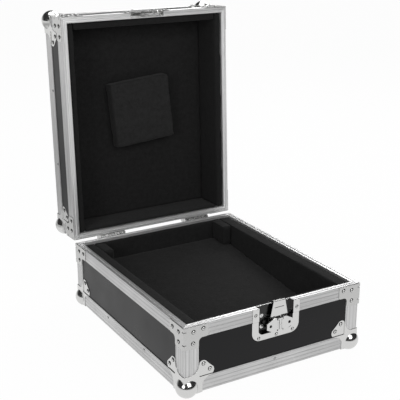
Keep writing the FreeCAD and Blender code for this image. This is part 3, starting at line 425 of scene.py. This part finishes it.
def white_room(fill):
    """White to the camera; in reflections palest low down towards the back, darker upwards and darkest in
    the room in front."""
    to_front, darkest, palest = (-0.2, -0.95, 0.24), 0.04, 0.5
    world = bpy.data.worlds.new("white_room")
    world.use_nodes = True
    tree = world.node_tree
    tree.nodes.clear()
    path = add_node(tree, "ShaderNodeLightPath")
    coordinate = add_node(tree, "ShaderNodeTexCoord")
    towards = add_node(tree, "ShaderNodeVectorMath", {"operation": "DOT_PRODUCT", 1: to_front},
                       {0: coordinate.outputs["Generated"]})
    behind = add_node(tree, "ShaderNodeMapRange", {
        "From Min": -0.75, "From Max": -0.35, "To Min": 1, "To Max": 0},
        {"Value": towards.outputs["Value"]})
    parts = add_node(tree, "ShaderNodeSeparateXYZ", links={0: coordinate.outputs["Generated"]})
    low_down = add_node(tree, "ShaderNodeMapRange", {
        "From Min": 0.08, "From Max": 0.34, "To Min": palest, "To Max": 0}, {"Value": parts.outputs[2]})
    room = add_node(tree, "ShaderNodeMath", {"operation": "MULTIPLY_ADD", 2: darkest}, {
        0: behind.outputs["Result"], 1: low_down.outputs["Result"]})
    glossy = add_node(tree, "ShaderNodeBackground", {"Color": (1, 1, 1, 1)}, {"Strength": room.outputs[0]})
    white = add_node(tree, "ShaderNodeBackground", {"Color": (1, 1, 1, 1), "Strength": 1})
    soft = add_node(tree, "ShaderNodeBackground", {"Color": (1, 1, 1, 1), "Strength": fill})
    lit = add_node(tree, "ShaderNodeMixShader", links={
        0: path.outputs["Is Glossy Ray"], 1: soft.outputs[0], 2: glossy.outputs[0]})
    clear = add_node(tree, "ShaderNodeMath", {"operation": "MAXIMUM"}, {
        0: path.outputs["Is Camera Ray"], 1: path.outputs["Is Transmission Ray"]})
    seen = add_node(tree, "ShaderNodeMixShader", links={
        0: clear.outputs[0], 1: lit.outputs[0], 2: white.outputs[0]})
    add_node(tree, "ShaderNodeOutputWorld", links={"Surface": seen.outputs[0]})
    return world


# Rails

def anodised_aluminium(name, along, closing, low, high):
    """Drawn and anodised aluminium: pale and softly shiny, the oxide scattering a part of the light, with
    drawing lines along the rail and a shallow groove every few millimetres on its ribbed outer faces. The
    outer faces are drawn darker than the smooth closing face, and each groove is darkened by painted shade.
    The real lines are a tenth of a millimetre apart, and are drawn one to three millimetres wide here so
    that they show. The closing matrix shuts the part, and low and high are its corners when shut."""
    finish, sizes = bpy.context.scene.case_finish, bpy.context.scene.case_sizes
    line_width, line_length, cloud_width = 3.2 * MM, 260 * MM, 60 * MM
    line_depth, groove_depth = 0.5 * MM, 0.3 * MM
    # The smooth closing face gives way to the ribbed skin between these depths inside the outer faces
    below_skin, in_skin = -2 * MM, -1 * MM
    smooth_shade, ribbed_shade, groove_shade, line_shade = 0.92, 0.67, 0.79, 0.82
    material, tree, shader = new_material(name, {
        "Base Color": list(finish.aluminium) + [1], "Metallic": 0.8, "Roughness": 0.36,
        "Anisotropic": 0.8, "Anisotropic Rotation": 0.25})
    turn = closing.to_euler().x
    coordinate = add_node(tree, "ShaderNodeTexCoord")
    case = add_node(tree, "ShaderNodeMapping", {
        "Location": closing.translation - (low + high) / 2, "Rotation": (turn, 0, 0)},
        {"Vector": coordinate.outputs["Object"]})
    outwards = add_node(tree, "ShaderNodeVectorMath", {"operation": "ABSOLUTE"}, {
        0: case.outputs["Vector"]})
    beyond = add_node(tree, "ShaderNodeVectorMath", {"operation": "SUBTRACT", 1: (high - low) / 2},
                      {0: outwards.outputs[0]})
    across = [axis for axis in "XYZ" if axis != along]
    # A wave texture of scale 1 runs through 20 radians in each metre
    wave_scale = 2 * math.pi / (20 * sizes.groove_pitch)
    waves = [
        add_node(tree, "ShaderNodeTexWave", {
            "wave_type": "BANDS", "bands_direction": axis, "wave_profile": "SIN",
            "Scale": wave_scale, "Phase Offset": math.pi}, {"Vector": beyond.outputs[0]})
        for axis in across]
    lowest = add_node(tree, "ShaderNodeMath", {"operation": "MINIMUM"}, {
        0: waves[0].outputs["Fac"], 1: waves[1].outputs["Fac"]})
    groove = add_node(tree, "ShaderNodeMapRange", {
        "From Min": 0.02, "From Max": 0.2, "To Min": 0, "To Max": 1}, {"Value": lowest.outputs[0]})
    parts = add_node(tree, "ShaderNodeSeparateXYZ", links={0: beyond.outputs[0]})
    upright = [axis for axis in across if axis != "Z"]
    depth = add_node(tree, "ShaderNodeMath", {"operation": "MAXIMUM"}, {
        0: parts.outputs[upright[0]], 1: parts.outputs[upright[-1]]})
    outer = add_node(tree, "ShaderNodeMapRange", {
        "From Min": below_skin, "From Max": in_skin, "To Min": smooth_shade, "To Max": ribbed_shade},
        {"Value": depth.outputs[0]})
    scale = [1 / line_width if axis != along else 1 / line_length for axis in "XYZ"]
    stretched = add_node(tree, "ShaderNodeMapping", {"Scale": scale}, {"Vector": case.outputs["Vector"]})
    lines = add_node(tree, "ShaderNodeTexNoise", {"Scale": 1, "Detail": 3, "Roughness": 0.7},
                     {"Vector": stretched.outputs["Vector"]})
    clouds = add_node(tree, "ShaderNodeTexNoise", {"Scale": 1 / cloud_width, "Detail": 2},
                      {"Vector": case.outputs["Vector"]})
    roughness = add_node(tree, "ShaderNodeMapRange", {
        "From Min": 0.3, "From Max": 0.7, "To Min": 0.3, "To Max": 0.42}, {"Value": clouds.outputs["Fac"]})
    tree.links.new(roughness.outputs["Result"], shader.inputs["Roughness"])
    fine = add_node(tree, "ShaderNodeBump", {"Strength": 0.5, "Distance": line_depth},
                    {"Height": lines.outputs["Fac"]})
    deep = add_node(tree, "ShaderNodeBump", {"Strength": 0.5, "Distance": groove_depth},
                    {"Height": groove.outputs["Result"], "Normal": fine.outputs["Normal"]})
    tree.links.new(deep.outputs["Normal"], shader.inputs["Normal"])
    run = Matrix.Rotation(-turn, 3, "X") @ Vector([float(axis == along) for axis in "XYZ"])
    direction = add_node(tree, "ShaderNodeVectorTransform", {
        "vector_type": "VECTOR", "convert_from": "OBJECT", "convert_to": "WORLD", "Vector": run})
    tree.links.new(direction.outputs["Vector"], shader.inputs["Tangent"])
    streak = add_node(tree, "ShaderNodeMapRange", {
        "From Min": 0.38, "From Max": 0.62, "To Min": line_shade, "To Max": 1},
        {"Value": lines.outputs["Fac"]})
    # Painted shade: each groove is drawn darker, as the shade that lies in it
    shaded = add_node(tree, "ShaderNodeMapRange", {
        "From Min": 0, "From Max": 1, "To Min": groove_shade, "To Max": 1},
        {"Value": groove.outputs["Result"]})
    both = add_node(tree, "ShaderNodeMath", {"operation": "MULTIPLY"}, {
        0: streak.outputs["Result"], 1: shaded.outputs["Result"]})
    # The outer faces are drawn darker than the closing face
    outer_darkened = add_node(tree, "ShaderNodeMath", {"operation": "MULTIPLY"}, {
        0: both.outputs[0], 1: outer.outputs["Result"]})
    shade = add_node(tree, "ShaderNodeMix", {
        "data_type": "RGBA", 6: (0, 0, 0, 1), 7: list(finish.aluminium) + [1]}, {0: outer_darkened.outputs[0]})
    tree.links.new(shade.outputs[2], shader.inputs["Base Color"])
    return material


class CASE_OT_rails(bpy.types.Operator):
    """Gives the aluminium rails their drawn and anodised finish"""

    bl_idname = "case.rails"
    bl_label = "Rails"

    def execute(self, context):
        for part, closing, low_z, high_z in (
            ("base", Matrix(), base_z, rim_z), ("lid", SWING.inverted(), rim_z, rim_z + lid_height),
        ):
            corners = Vector((left_x, front_y, low_z)), Vector((right_x, back_y, high_z))
            rails = {
                "X": [f"{part}_{wall}_{rail}" for wall in ("front", "back") for rail in ("rim", "edge")],
                "Y": [f"{part}_{wall}_{rail}" for wall in ("left", "right") for rail in ("rim", "edge")],
                "Z": [f"{part}_corner_edges"]}
            for along, names in rails.items():
                finish = f"{part}_rail_aluminium_{along.lower()}"
                finish_nodes(anodised_aluminium(finish, along, closing, *corners), names)
        return {"FINISHED"}


# Panels

def black_laminate():
    """Phenolic faced plywood: a hard black face, smooth enough to mirror pale surroundings faintly,
    with a fine pebble left by the press."""
    finish = bpy.context.scene.case_finish
    pebble_width, cloud_width = 1.2 * MM, 70 * MM
    material, tree, shader = new_material("black_phenolic_laminate", {
        "Base Color": list(finish.laminate) + [1], "Roughness": 0.3, "Specular IOR Level": 0.22})
    coordinate = add_node(tree, "ShaderNodeTexCoord")
    pebble = add_node(tree, "ShaderNodeTexNoise", {
        "Scale": 1 / pebble_width, "Detail": 2, "Roughness": 0.5}, {"Vector": coordinate.outputs["Object"]})
    cloud = add_node(tree, "ShaderNodeTexNoise", {"Scale": 1 / cloud_width, "Detail": 3},
                     {"Vector": coordinate.outputs["Object"]})
    roughness = add_node(tree, "ShaderNodeMapRange", {
        "From Min": 0.3, "From Max": 0.7, "To Min": 0.26, "To Max": 0.36}, {"Value": cloud.outputs["Fac"]})
    tree.links.new(roughness.outputs["Result"], shader.inputs["Roughness"])
    bump = add_node(tree, "ShaderNodeBump", {"Strength": 0.12, "Distance": 0.05 * MM},
                    {"Height": pebble.outputs["Fac"]})
    tree.links.new(bump.outputs["Normal"], shader.inputs["Normal"])
    return material


class CASE_OT_panels(bpy.types.Operator):
    """Gives the plywood panels their black laminate"""

    bl_idname = "case.panels"
    bl_label = "Panels"

    def execute(self, context):
        names = [f"{part}_{wall}_panel" for part in ("base", "lid") for wall in WALLS]
        finish_nodes(black_laminate(), names + ["base_bottom_panel", "lid_top_panel"])
        return {"FINISHED"}


# Steel

def plated_steel(name, roughness, wave, shade=1, metallic=1):
    """Pressed steel with plating: nearly a mirror where its roughness is low, a little uneven from the
    press, with patches worn dull by handling. The wave is how deep it is uneven, and a shade under 1
    darkens it."""
    finish = bpy.context.scene.case_finish
    dent_width, wear_width = 18 * MM, 6 * MM
    material, tree, shader = new_material(name, {
        "Base Color": [value * shade for value in finish.steel] + [1], "Metallic": metallic,
        "Roughness": roughness})
    coordinate = add_node(tree, "ShaderNodeTexCoord")
    dents = add_node(tree, "ShaderNodeTexNoise", {"Scale": 1 / dent_width, "Detail": 2, "Roughness": 0.45},
                     {"Vector": coordinate.outputs["Object"]})
    bump = add_node(tree, "ShaderNodeBump", {"Strength": 0.5, "Distance": wave},
                    {"Height": dents.outputs["Fac"]})
    tree.links.new(bump.outputs["Normal"], shader.inputs["Normal"])
    wear = add_node(tree, "ShaderNodeTexNoise", {"Scale": 1 / wear_width, "Detail": 5, "Roughness": 0.7},
                    {"Vector": coordinate.outputs["Object"]})
    dull = add_node(tree, "ShaderNodeMapRange", {
        "From Min": 0.35, "From Max": 0.75, "To Min": roughness * 0.8, "To Max": roughness * 1.7},
        {"Value": wear.outputs["Fac"]})
    tree.links.new(dull.outputs["Result"], shader.inputs["Roughness"])
    return material


class CASE_OT_corner_steel(bpy.types.Operator):
    """Gives the ball corners their nickel and the braces their greyer zinc plating"""

    bl_idname = "case.corner_steel"
    bl_label = "Corner steel"

    def execute(self, context):
        nickel = plated_steel("nickel_plated_steel", roughness=0.12, wave=0.6 * MM)
        zinc = plated_steel("zinc_plated_brace_steel", roughness=0.14, wave=0.6 * MM, shade=0.82)
        for body in ("base", "lid"):
            dressed(f"{body}_ball_corners", body, nickel)
            dressed(f"{body}_corner_braces", body, zinc)
        return {"FINISHED"}


# Rivets

def corner_places(lid):
    """The four corners of the base or the lid: the signs of x and y, and the swing of the lid's own."""
    for side in (-1, 1):
        for end in (-1, 1):
            yield side, end, SWING if lid else None


def upright_corner(side, end):
    """The x and y of one of the case's upright corners."""
    return left_x if side < 0 else right_x, front_y if end < 0 else back_y


def face_place(side, end, face, along, level, swing):
    """A point on the side or end face, so far from the upright corner and at that height."""
    corner_x, corner_y = upright_corner(side, end)
    if face == "end":
        return standing(corner_x - side * along, corner_y, level, (0, end, 0), swing)
    return standing(corner_x, corner_y - end * along, level, (side, 0, 0), swing)


def rivet_head():
    """The head of a drive rivet: a low dome with a dimple, at its largest size."""
    sizes = bpy.context.scene.case_sizes
    r, h = sizes.rivet_radius, sizes.rivet_height
    return turned([
        (r, 0), (r, 0.12 * h), (0.86 * r, 0.3 * h), (0.76 * r, 0.62 * h), (0.62 * r, 0.88 * h),
        (0.42 * r, h), (0.3 * r, h), (0.22 * r, 0.7 * h)], sides=20)


def lifted(place, height, size=1.0):
    """A place moved so many millimetres along its own normal, for a piece of that share of its size."""
    return place @ Matrix.Translation((0, 0, height * MM)) @ Matrix.Scale(size, 4)


def on_front(x, drop, height, size=1.0, swing=None):
    """A place on the front, x millimetres right of the middle and so far below the rim plane."""
    return lifted(standing(x * MM, front_y, rim_z - drop * MM, (0, -1, 0), swing), height, size)


class CASE_OT_rivets(bpy.types.Operator):
    """Adds the rivets of the ball corners, braces, rails, latch dishes, hinges and handle plate"""

    bl_idname = "case.rivets"
    bl_label = "Rivets"

    def execute(self, context):
        sizes = context.scene.case_sizes
        dimple_radius, skirt_height = 0.3 * sizes.rivet_radius, 0.55 * sizes.rivet_height
        rivet = rivet_head()
        rivet.data.materials.append(plated_steel("rivet_steel", roughness=0.14, wave=0.02 * MM))
        # Painted shade: the dimple and the foot of each head are drawn dark, for the shade in and round
        # them, which draws each head as a dark ring
        rivet.data.materials.append(
            plated_steel("dirty_rivet_edge_steel", roughness=0.3, wave=0.02 * MM, shade=0.12))
        for face in rivet.data.polygons:
            in_dimple = face.center.xy.length < dimple_radius
            face.material_index = int(in_dimple or face.center.z < skirt_height)
        for name, body, slot, places in (
            ("base_corner_rivets", "base", "corner_steel", self.corners(False)),
            ("lid_corner_rivets", "lid", "corner_steel", self.corners(True)),
            ("base_rail_rivets", "base", "corner_steel", self.rails(False)),
            ("lid_rail_rivets", "lid", "corner_steel", self.rails(True)),
            ("latch_dish_rivets", "base", "latch_steel", self.dish()),
            ("keeper_dish_rivets", "lid", "latch_steel", self.keeper()),
            ("hinge_base_rivets", "base", "hinge_steel", self.hinge(-1, None)),
            ("hinge_lid_rivets", "lid", "hinge_steel", self.hinge(1, SWING)),
            ("handle_plate_rivets", "base", "corner_steel", self.handle_plate()),
        ):
            piece = copies(rivet, name, places)
            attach(piece, body)
        discard(rivet)
        return {"FINISHED"}

    def corners(self, lid):
        """Rivets through the braces, which lie on the rails, and through the leaves' sunk lobes. Their
        spots are millimetres from the upright corner, and from the rim plane or the outside face."""
        way = 1 if lid else -1
        outside = rim_z + lid_height if lid else base_z
        on_brace, in_lobe = 1.2, -0.3
        end_spots = (20, 12), (41, 9.2), (19, 35.2)
        side_spots = (18.6, 14), (41.5, 12.8), (18.8, 34.6)
        lobe_spots = (42.6, 56.4), (56.4, 42.6)
        places = []
        for side, end, swing in corner_places(lid):
            corner_x, corner_y = upright_corner(side, end)
            for face, spots in (("end", end_spots), ("side", side_spots)):
                for along, drop in spots:
                    place = face_place(side, end, face, along * MM, rim_z + way * drop * MM, swing)
                    places.append(lifted(place, on_brace))
            for along, rise in lobe_spots:
                for face in ("end", "side"):
                    place = face_place(side, end, face, along * MM, outside - way * rise * MM, swing)
                    places.append(lifted(place, in_lobe))
                x, y = corner_x - side * along * MM, corner_y - end * rise * MM
                places.append(lifted(standing(x, y, outside, (0, 0, way), swing), in_lobe))
        return places

    def rails(self, lid):
        """Small rivets, one half way along each edge rail of the front and the back and two along each
        side's."""
        if lid:
            swing = SWING
            end_level = side_level = rim_z + lid_height - 24 * MM
            side_ys = back_y - 162 * MM, front_y + 165 * MM
        else:
            swing = None
            end_level, side_level = 36.2 * MM, 35 * MM
            middle, reach = (front_y + back_y) / 2, 85 * MM
            side_ys = middle + reach, middle - reach
        spots = [((0, front_y, end_level), (0, -1, 0)), ((0, back_y, end_level), (0, 1, 0))]
        for x, side in ((left_x, -1), (right_x, 1)):
            for y in side_ys:
                spots.append(((x, y, side_level), (side, 0, 0)))
        return [lifted(standing(*spot, normal, swing), height=0, size=0.6) for spot, normal in spots]

    def dish(self):
        """Two rivets through the rail, and three through the panel below it."""
        on_rail, on_panel = 1.2, -0.3
        return [
            on_front(x, drop, height, size=0.8)
            for x, drop, height in (
                (-47.9, 12.9, on_rail), (48.2, 15.6, on_rail), (-39.2, 63.5, on_panel),
                (1.9, 64, on_panel), (40.3, 62.3, on_panel))]

    def keeper(self):
        """Four rivets round the lid's dish."""
        return [
            on_front(x, -rise, height=1.2, size=0.7, swing=SWING)
            for x, rise in ((-47.5, 11), (47.5, 11), (-30, 27), (30, 27))]

    def hinge(self, way, swing):
        """Three rivets in each leaf, on the back, clear of the knuckles and the stop ribs."""
        leaf_middle, spacing, drop, sheet = 112, 16, 17, 2 * MM
        places = []
        for side in (-1, 1):
            for step in (-spacing, 0, spacing):
                spot = side * (leaf_middle + step) * MM, back_y + sheet, rim_z + way * drop * MM
                places.append(lifted(standing(*spot, (0, 1, 0), swing), height=0, size=0.75))
        return places

    def handle_plate(self):
        """Two rivets near the plate's lower edge and two near its shorter upper one."""
        low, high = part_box("handle_plate")
        middle, margin = (low[1] + high[1]) / 2, 8 * MM
        lower, upper = low[2] + margin, high[2] - margin
        return [
            lifted(standing(right_x, middle + y * MM, level, (1, 0, 0)), height=0, size=0.85)
            for y, level in ((-51, lower), (51, lower), (-32, upper), (32, upper))]


# Foam

def charcoal_foam(name, shade=1):
    """Cut polyurethane foam: open cells that swallow light, with a faint mottle and pores about a
    millimetre wide, drawn at twice that so they show."""
    colour = [value * shade for value in bpy.context.scene.case_finish.foam]
    pore_width, mottle_width, darkest, palest = 2.2 * MM, 9 * MM, 0.75, 1.3
    material, tree, shader = new_material(name, {
        "Base Color": colour + [1], "Roughness": 1, "Specular IOR Level": 0.15, "Sheen Weight": 0.04,
        "Sheen Roughness": 0.5})
    coordinate = add_node(tree, "ShaderNodeTexCoord")
    pores = add_node(tree, "ShaderNodeTexVoronoi", {"Scale": 1 / pore_width},
                     {"Vector": coordinate.outputs["Object"]})
    mottle = add_node(tree, "ShaderNodeTexNoise", {
        "Scale": 1 / mottle_width, "Detail": 6, "Roughness": 0.7}, {"Vector": coordinate.outputs["Object"]})
    level = add_node(tree, "ShaderNodeMapRange", {
        "From Min": 0.3, "From Max": 0.7, "To Min": 0, "To Max": 1}, {"Value": mottle.outputs["Fac"]})
    mottled = add_node(tree, "ShaderNodeMix", {
        "data_type": "RGBA", 6: [value * darkest for value in colour] + [1],
        7: [value * palest for value in colour] + [1]}, {0: level.outputs["Result"]})
    tree.links.new(mottled.outputs[2], shader.inputs["Base Color"])
    bump = add_node(tree, "ShaderNodeBump", {"Strength": 0.8, "Distance": 0.5 * MM},
                    {"Height": pores.outputs["Distance"]})
    tree.links.new(bump.outputs["Normal"], shader.inputs["Normal"])
    return material


class CASE_OT_foam(bpy.types.Operator):
    """Makes the cut foam of the base and the lid in place of its plain solids"""

    bl_idname = "case.foam"
    bl_label = "Foam"

    def execute(self, context):
        foam = charcoal_foam("charcoal_foam")
        # Painted light: the pad's foam is drawn half as light again as the rest, standing in for the light
        # on its faces
        lit_pad_foam = charcoal_foam("soft_pad_foam", shade=1.5)
        for body, names in (
            ("base", ["base_floor_foam", "base_left_foam", "base_right_foam", "base_front_foam",
                      "base_back_foam", "left_cable_block", "right_cable_block"]),
            ("lid", ["lid_lining_foam", "lid_left_foam", "lid_right_foam", "lid_front_foam",
                     "lid_back_foam", "lid_foam_block"]),
        ):
            for name in names:
                piece = self.cut_foam(name)
                fit(piece, body, lit_pad_foam if name == "lid_foam_block" else foam)
                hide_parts(name)
        return {"FINISHED"}

    def cut_foam(self, name):
        """A piece's solid with rounded edges and a slightly uneven surface, in a mesh of even squares."""
        sizes = bpy.context.scene.case_sizes
        piece = merged_copy("cut_" + name, name, flat_angle=1)
        bevel = piece.modifiers.new("soft_edge", "BEVEL")
        bevel.width, bevel.segments = 1.8 * MM, 2
        bpy.ops.object.modifier_apply(modifier="soft_edge")
        remesh = piece.modifiers.new("cells", "REMESH")
        remesh.mode, remesh.voxel_size = "VOXEL", sizes.foam_voxel
        bpy.ops.object.modifier_apply(modifier="cells")
        relax = piece.modifiers.new("relax", "SMOOTH")
        relax.factor, relax.iterations = 0.5, 2
        bpy.ops.object.modifier_apply(modifier="relax")
        uneven = bpy.data.textures.new("uneven", "CLOUDS")
        uneven.noise_scale = 45 * MM
        wave = piece.modifiers.new("wave", "DISPLACE")
        wave.texture, wave.texture_coords = uneven, "LOCAL"
        wave.strength, wave.mid_level = sizes.foam_wave * 2, 0.75
        bpy.ops.object.modifier_apply(modifier="wave")
        smooth(piece, angle=60)
        return piece


# Latch, hinges, feet and handle

class CASE_OT_latch(bpy.types.Operator):
    """Makes the latch's plates with their softened edges and plating, and its small stampings"""

    bl_idname = "case.latch"
    bl_label = "Latch"

    def execute(self, context):
        steel = plated_steel("bright_latch_steel", roughness=0.1, wave=0.5 * MM)
        # Shorn edges are rough, and painted shade draws them dark beside the bright faces, for the shade
        # and dark reflections on them
        edge_shade = plated_steel("shorn_edge_steel", roughness=0.3, wave=0.1 * MM, shade=0.1)
        self.dish(steel)
        # The floor of the keeper's recess has a soft satin shine
        satin = plated_steel("satin_keeper_steel", roughness=0.35, wave=0.3 * MM, metallic=0.6)
        bevel = 0.15
        dressed("keeper_dish", "lid", steel, bevel, satin, self.in_keeper)
        for node, body in (
            ("latch_guides", "base"), ("latch_spindle", "latch_knob"), ("latch_left_wing", "left_wing"),
            ("latch_right_wing", "right_wing"), ("latch_slide", "latch_carriage"),
            ("latch_hook", "draw_hook"),
        ):
            dressed(node, body, steel, bevel, edge_shade, self.is_shaded_edge)
        self.recess_screws(steel)
        self.hook_bead(steel)
        self.hub_cap(steel)
        return {"FINISHED"}

    def is_shaded_edge(self, face):
        """The cut edge of a plate or of the butterfly, which faces sideways or down and takes the painted
        shade.
        """
        return abs(face.normal.y) < 0.6 and face.normal.z < 0.6

    def in_keeper(self, face):
        """The floor of the keeper's recess, which lies deeper than its flange in the lid's front wall."""
        sheet = 2 * MM
        return face.center.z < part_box("keeper_dish")[1][2] - sheet and face.normal.z > 0.7

    def dish(self, steel):
        """The dish, its flange pressed down from the rail onto the panel, with painted shade deep in the
        recess.
        """
        crank = rim_z - 27 * MM
        press = 1.5 * MM
        piece = merged_copy("fine_latch_dish", "latch_dish")
        bpy.ops.object.mode_set(mode="EDIT")
        for level in (crank, crank - press):
            bpy.ops.mesh.select_all(action="SELECT")
            bpy.ops.mesh.bisect(plane_co=(0, 0, level), plane_no=(0, 0, 1))
        select_where(piece, "vertices", lambda vertex: (
            vertex.co.z < crank - 0.9 * press and vertex.co.y < front_y + 0.1 * MM))
        bpy.ops.transform.translate(value=(0, press, 0))
        bpy.ops.object.mode_set(mode="OBJECT")
        soften(piece, width=0.2)
        # Painted shade: the steel deep in the recess is drawn dark, for the shade and dark reflections
        # there
        dull = plated_steel("oiled_recess_steel", roughness=0.2, wave=0.8 * MM, shade=0.07)
        deep = front_y + 5 * MM
        fit(piece, "base", steel, dull, lambda face: face.center.y > deep)
        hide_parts("latch_dish")

    def recess_screws(self, steel):
        """Two pan head screws in the floor of the recess."""
        r, h, floor = 4.8 * MM, 1.6 * MM, -9.3
        screw = turned([
            (r, 0), (r, 0.35 * h), (0.88 * r, 0.8 * h), (0.6 * r, h), (0.34 * r, h),
            (0.3 * r, 0.4 * h)], sides=20)
        places = [on_front(x, drop, floor) for x, drop in ((-28.8, 20.6), (-28.2, 43.5))]
        placed(screw, "recess_screws", places, "base", steel)

    def hook_bead(self, steel):
        """The bead stamped across the hook, which stiffens it below its curl."""
        r, length = 0.8 * MM, 22 * MM
        bead = turned([
            (0.5 * r, 0), (0.9 * r, 0.4 * r), (r, r), (r, length - r), (0.9 * r, length - 0.4 * r),
            (0.5 * r, length)], sides=12)
        left_end = Matrix.Translation((latch_x - length / 2, front_y + 1.4 * MM, rim_z - 8 * MM))
        place = left_end @ Matrix.Rotation(math.radians(90), 4, "Y")
        placed(bead, "hook_bead", [place], "draw_hook", steel)

    def hub_cap(self, steel):
        """The riveted end of the spindle in the middle of the butterfly."""
        r, h = 3 * MM, 0.9 * MM
        cap = turned([
            (r, 0), (r, 0.4 * h), (0.8 * r, 0.9 * h), (0.5 * r, h), (0.4 * r, h),
            (0.34 * r, 0.5 * h)], sides=20)
        head_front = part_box("latch_spindle")[0][1]
        place = standing(latch_x, head_front, spindle_z, (0, -1, 0))
        placed(cap, "spindle_cap", [place], "latch_knob", steel)


class CASE_OT_hinges(bpy.types.Operator):
    """Gives the hinges their zinc plating"""

    bl_idname = "case.hinges"
    bl_label = "Hinges"

    def execute(self, context):
        steel = plated_steel("zinc_plated_steel", roughness=0.24, wave=0.08 * MM)
        dressed("hinge_base_leaves", "base", steel, bevel=0.2)
        dressed("hinge_pins", "base", steel, bevel=0.2)
        dressed("hinge_lid_leaves", "lid", steel, bevel=0.2)
        return {"FINISHED"}


def moulded_rubber(name):
    """Moulded rubber: dark grey, matt and faintly grained."""
    finish = bpy.context.scene.case_finish
    material, tree, shader = new_material(name, {
        "Base Color": list(finish.rubber) + [1], "Roughness": 0.7})
    grain_width = 0.8 * MM
    coordinate = add_node(tree, "ShaderNodeTexCoord")
    grain = add_node(tree, "ShaderNodeTexNoise", {"Scale": 1 / grain_width, "Detail": 3},
                     {"Vector": coordinate.outputs["Object"]})
    bump = add_node(tree, "ShaderNodeBump", {"Strength": 0.3, "Distance": 0.1 * MM},
                    {"Height": grain.outputs["Fac"]})
    tree.links.new(bump.outputs["Normal"], shader.inputs["Normal"])
    return material


class CASE_OT_feet(bpy.types.Operator):
    """Makes the rubber feet with their screw wells and washers"""

    bl_idname = "case.feet"
    bl_label = "Feet"

    def execute(self, context):
        margin, slope, well = 5 * MM, 1 * MM, 5 * MM
        piece = merged_copy("fine_rubber_feet", "rubber_feet")
        bpy.ops.object.mode_set(mode="EDIT")
        select_where(piece, "polygons", lambda face: face.normal.z < -0.999)
        bpy.ops.mesh.inset(thickness=margin, depth=0)
        bpy.ops.mesh.inset(thickness=slope, depth=0)
        bpy.ops.transform.translate(value=(0, 0, well))
        bpy.ops.object.mode_set(mode="OBJECT")
        soften(piece, width=0.8)
        fit(piece, "base", moulded_rubber("foot_rubber"))
        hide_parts("rubber_feet")
        self.screws(well + 0.1 * MM)
        return {"FINISHED"}

    def screws(self, level):
        """A washer with its screw in the well of each foot."""
        r, h, foot_radius = 6.5 * MM, 1.8 * MM, 18 * MM
        washer = turned([
            (r, 0), (r, 0.3 * h), (0.62 * r, 0.3 * h), (0.6 * r, 0.8 * h), (0.45 * r, h), (0.25 * r, h),
            (0.22 * r, 0.5 * h)], sides=24)
        low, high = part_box("rubber_feet")
        places = [
            standing(x, y, level, (0, 0, -1))
            for x in (low[0] + foot_radius, high[0] - foot_radius)
            for y in (low[1] + foot_radius, high[1] - foot_radius)]
        zinc = plated_steel("zinc_screw_steel", roughness=0.25, wave=0.02 * MM)
        placed(washer, "foot_screws", places, "base", zinc)


class CASE_OT_handle(bpy.types.Operator):
    """Gives the handle its plating and its rubber grip"""

    bl_idname = "case.handle"
    bl_label = "Handle"

    def execute(self, context):
        steel = plated_steel("handle_steel", roughness=0.16, wave=0.1 * MM)
        dressed("handle_plate", "base", steel)
        dressed("handle_bail", "carrying_handle", steel)
        rubber = moulded_rubber("grip_rubber")
        dressed("handle_grip", "carrying_handle", rubber, bevel=0.5)
        return {"FINISHED"}


OPERATORS = [
    CASE_OT_studio, CASE_OT_rails, CASE_OT_panels, CASE_OT_corner_steel, CASE_OT_rivets, CASE_OT_foam,
    CASE_OT_latch, CASE_OT_hinges, CASE_OT_feet, CASE_OT_handle]


class CASE_PT_parts(bpy.types.Panel):
    """Shows the case's colours, sizes and lights, and a button for each step"""

    bl_label = "Flight case"
    bl_idname = "CASE_PT_parts"
    bl_space_type = "VIEW_3D"
    bl_region_type = "UI"
    bl_category = "Flight case"

    def draw(self, context):
        for group in ("case_finish", "case_sizes", "case_studio"):
            settings = getattr(context.scene, group)
            box = self.layout.box()
            for name in settings.__annotations__:
                box.prop(settings, name)
        for operator in OPERATORS:
            self.layout.operator(operator.bl_idname)


CLASSES = [CaseFinish, CaseSizes, CaseStudio, *OPERATORS, CASE_PT_parts]


def register():
    for item in CLASSES:
        bpy.utils.register_class(item)
    bpy.types.Scene.case_finish = PointerProperty(type=CaseFinish)
    bpy.types.Scene.case_sizes = PointerProperty(type=CaseSizes)
    bpy.types.Scene.case_studio = PointerProperty(type=CaseStudio)


def unregister():
    for name in ("case_finish", "case_sizes", "case_studio"):
        delattr(bpy.types.Scene, name)
    for item in reversed(CLASSES):
        bpy.utils.unregister_class(item)


def main():
    register()
    bpy.ops.case.studio()
    bpy.ops.case.rails()
    bpy.ops.case.panels()
    bpy.ops.case.corner_steel()
    bpy.ops.case.rivets()
    bpy.ops.case.foam()
    bpy.ops.case.latch()
    bpy.ops.case.hinges()
    bpy.ops.case.feet()
    bpy.ops.case.handle()


if __name__ == "__main__":
    main()
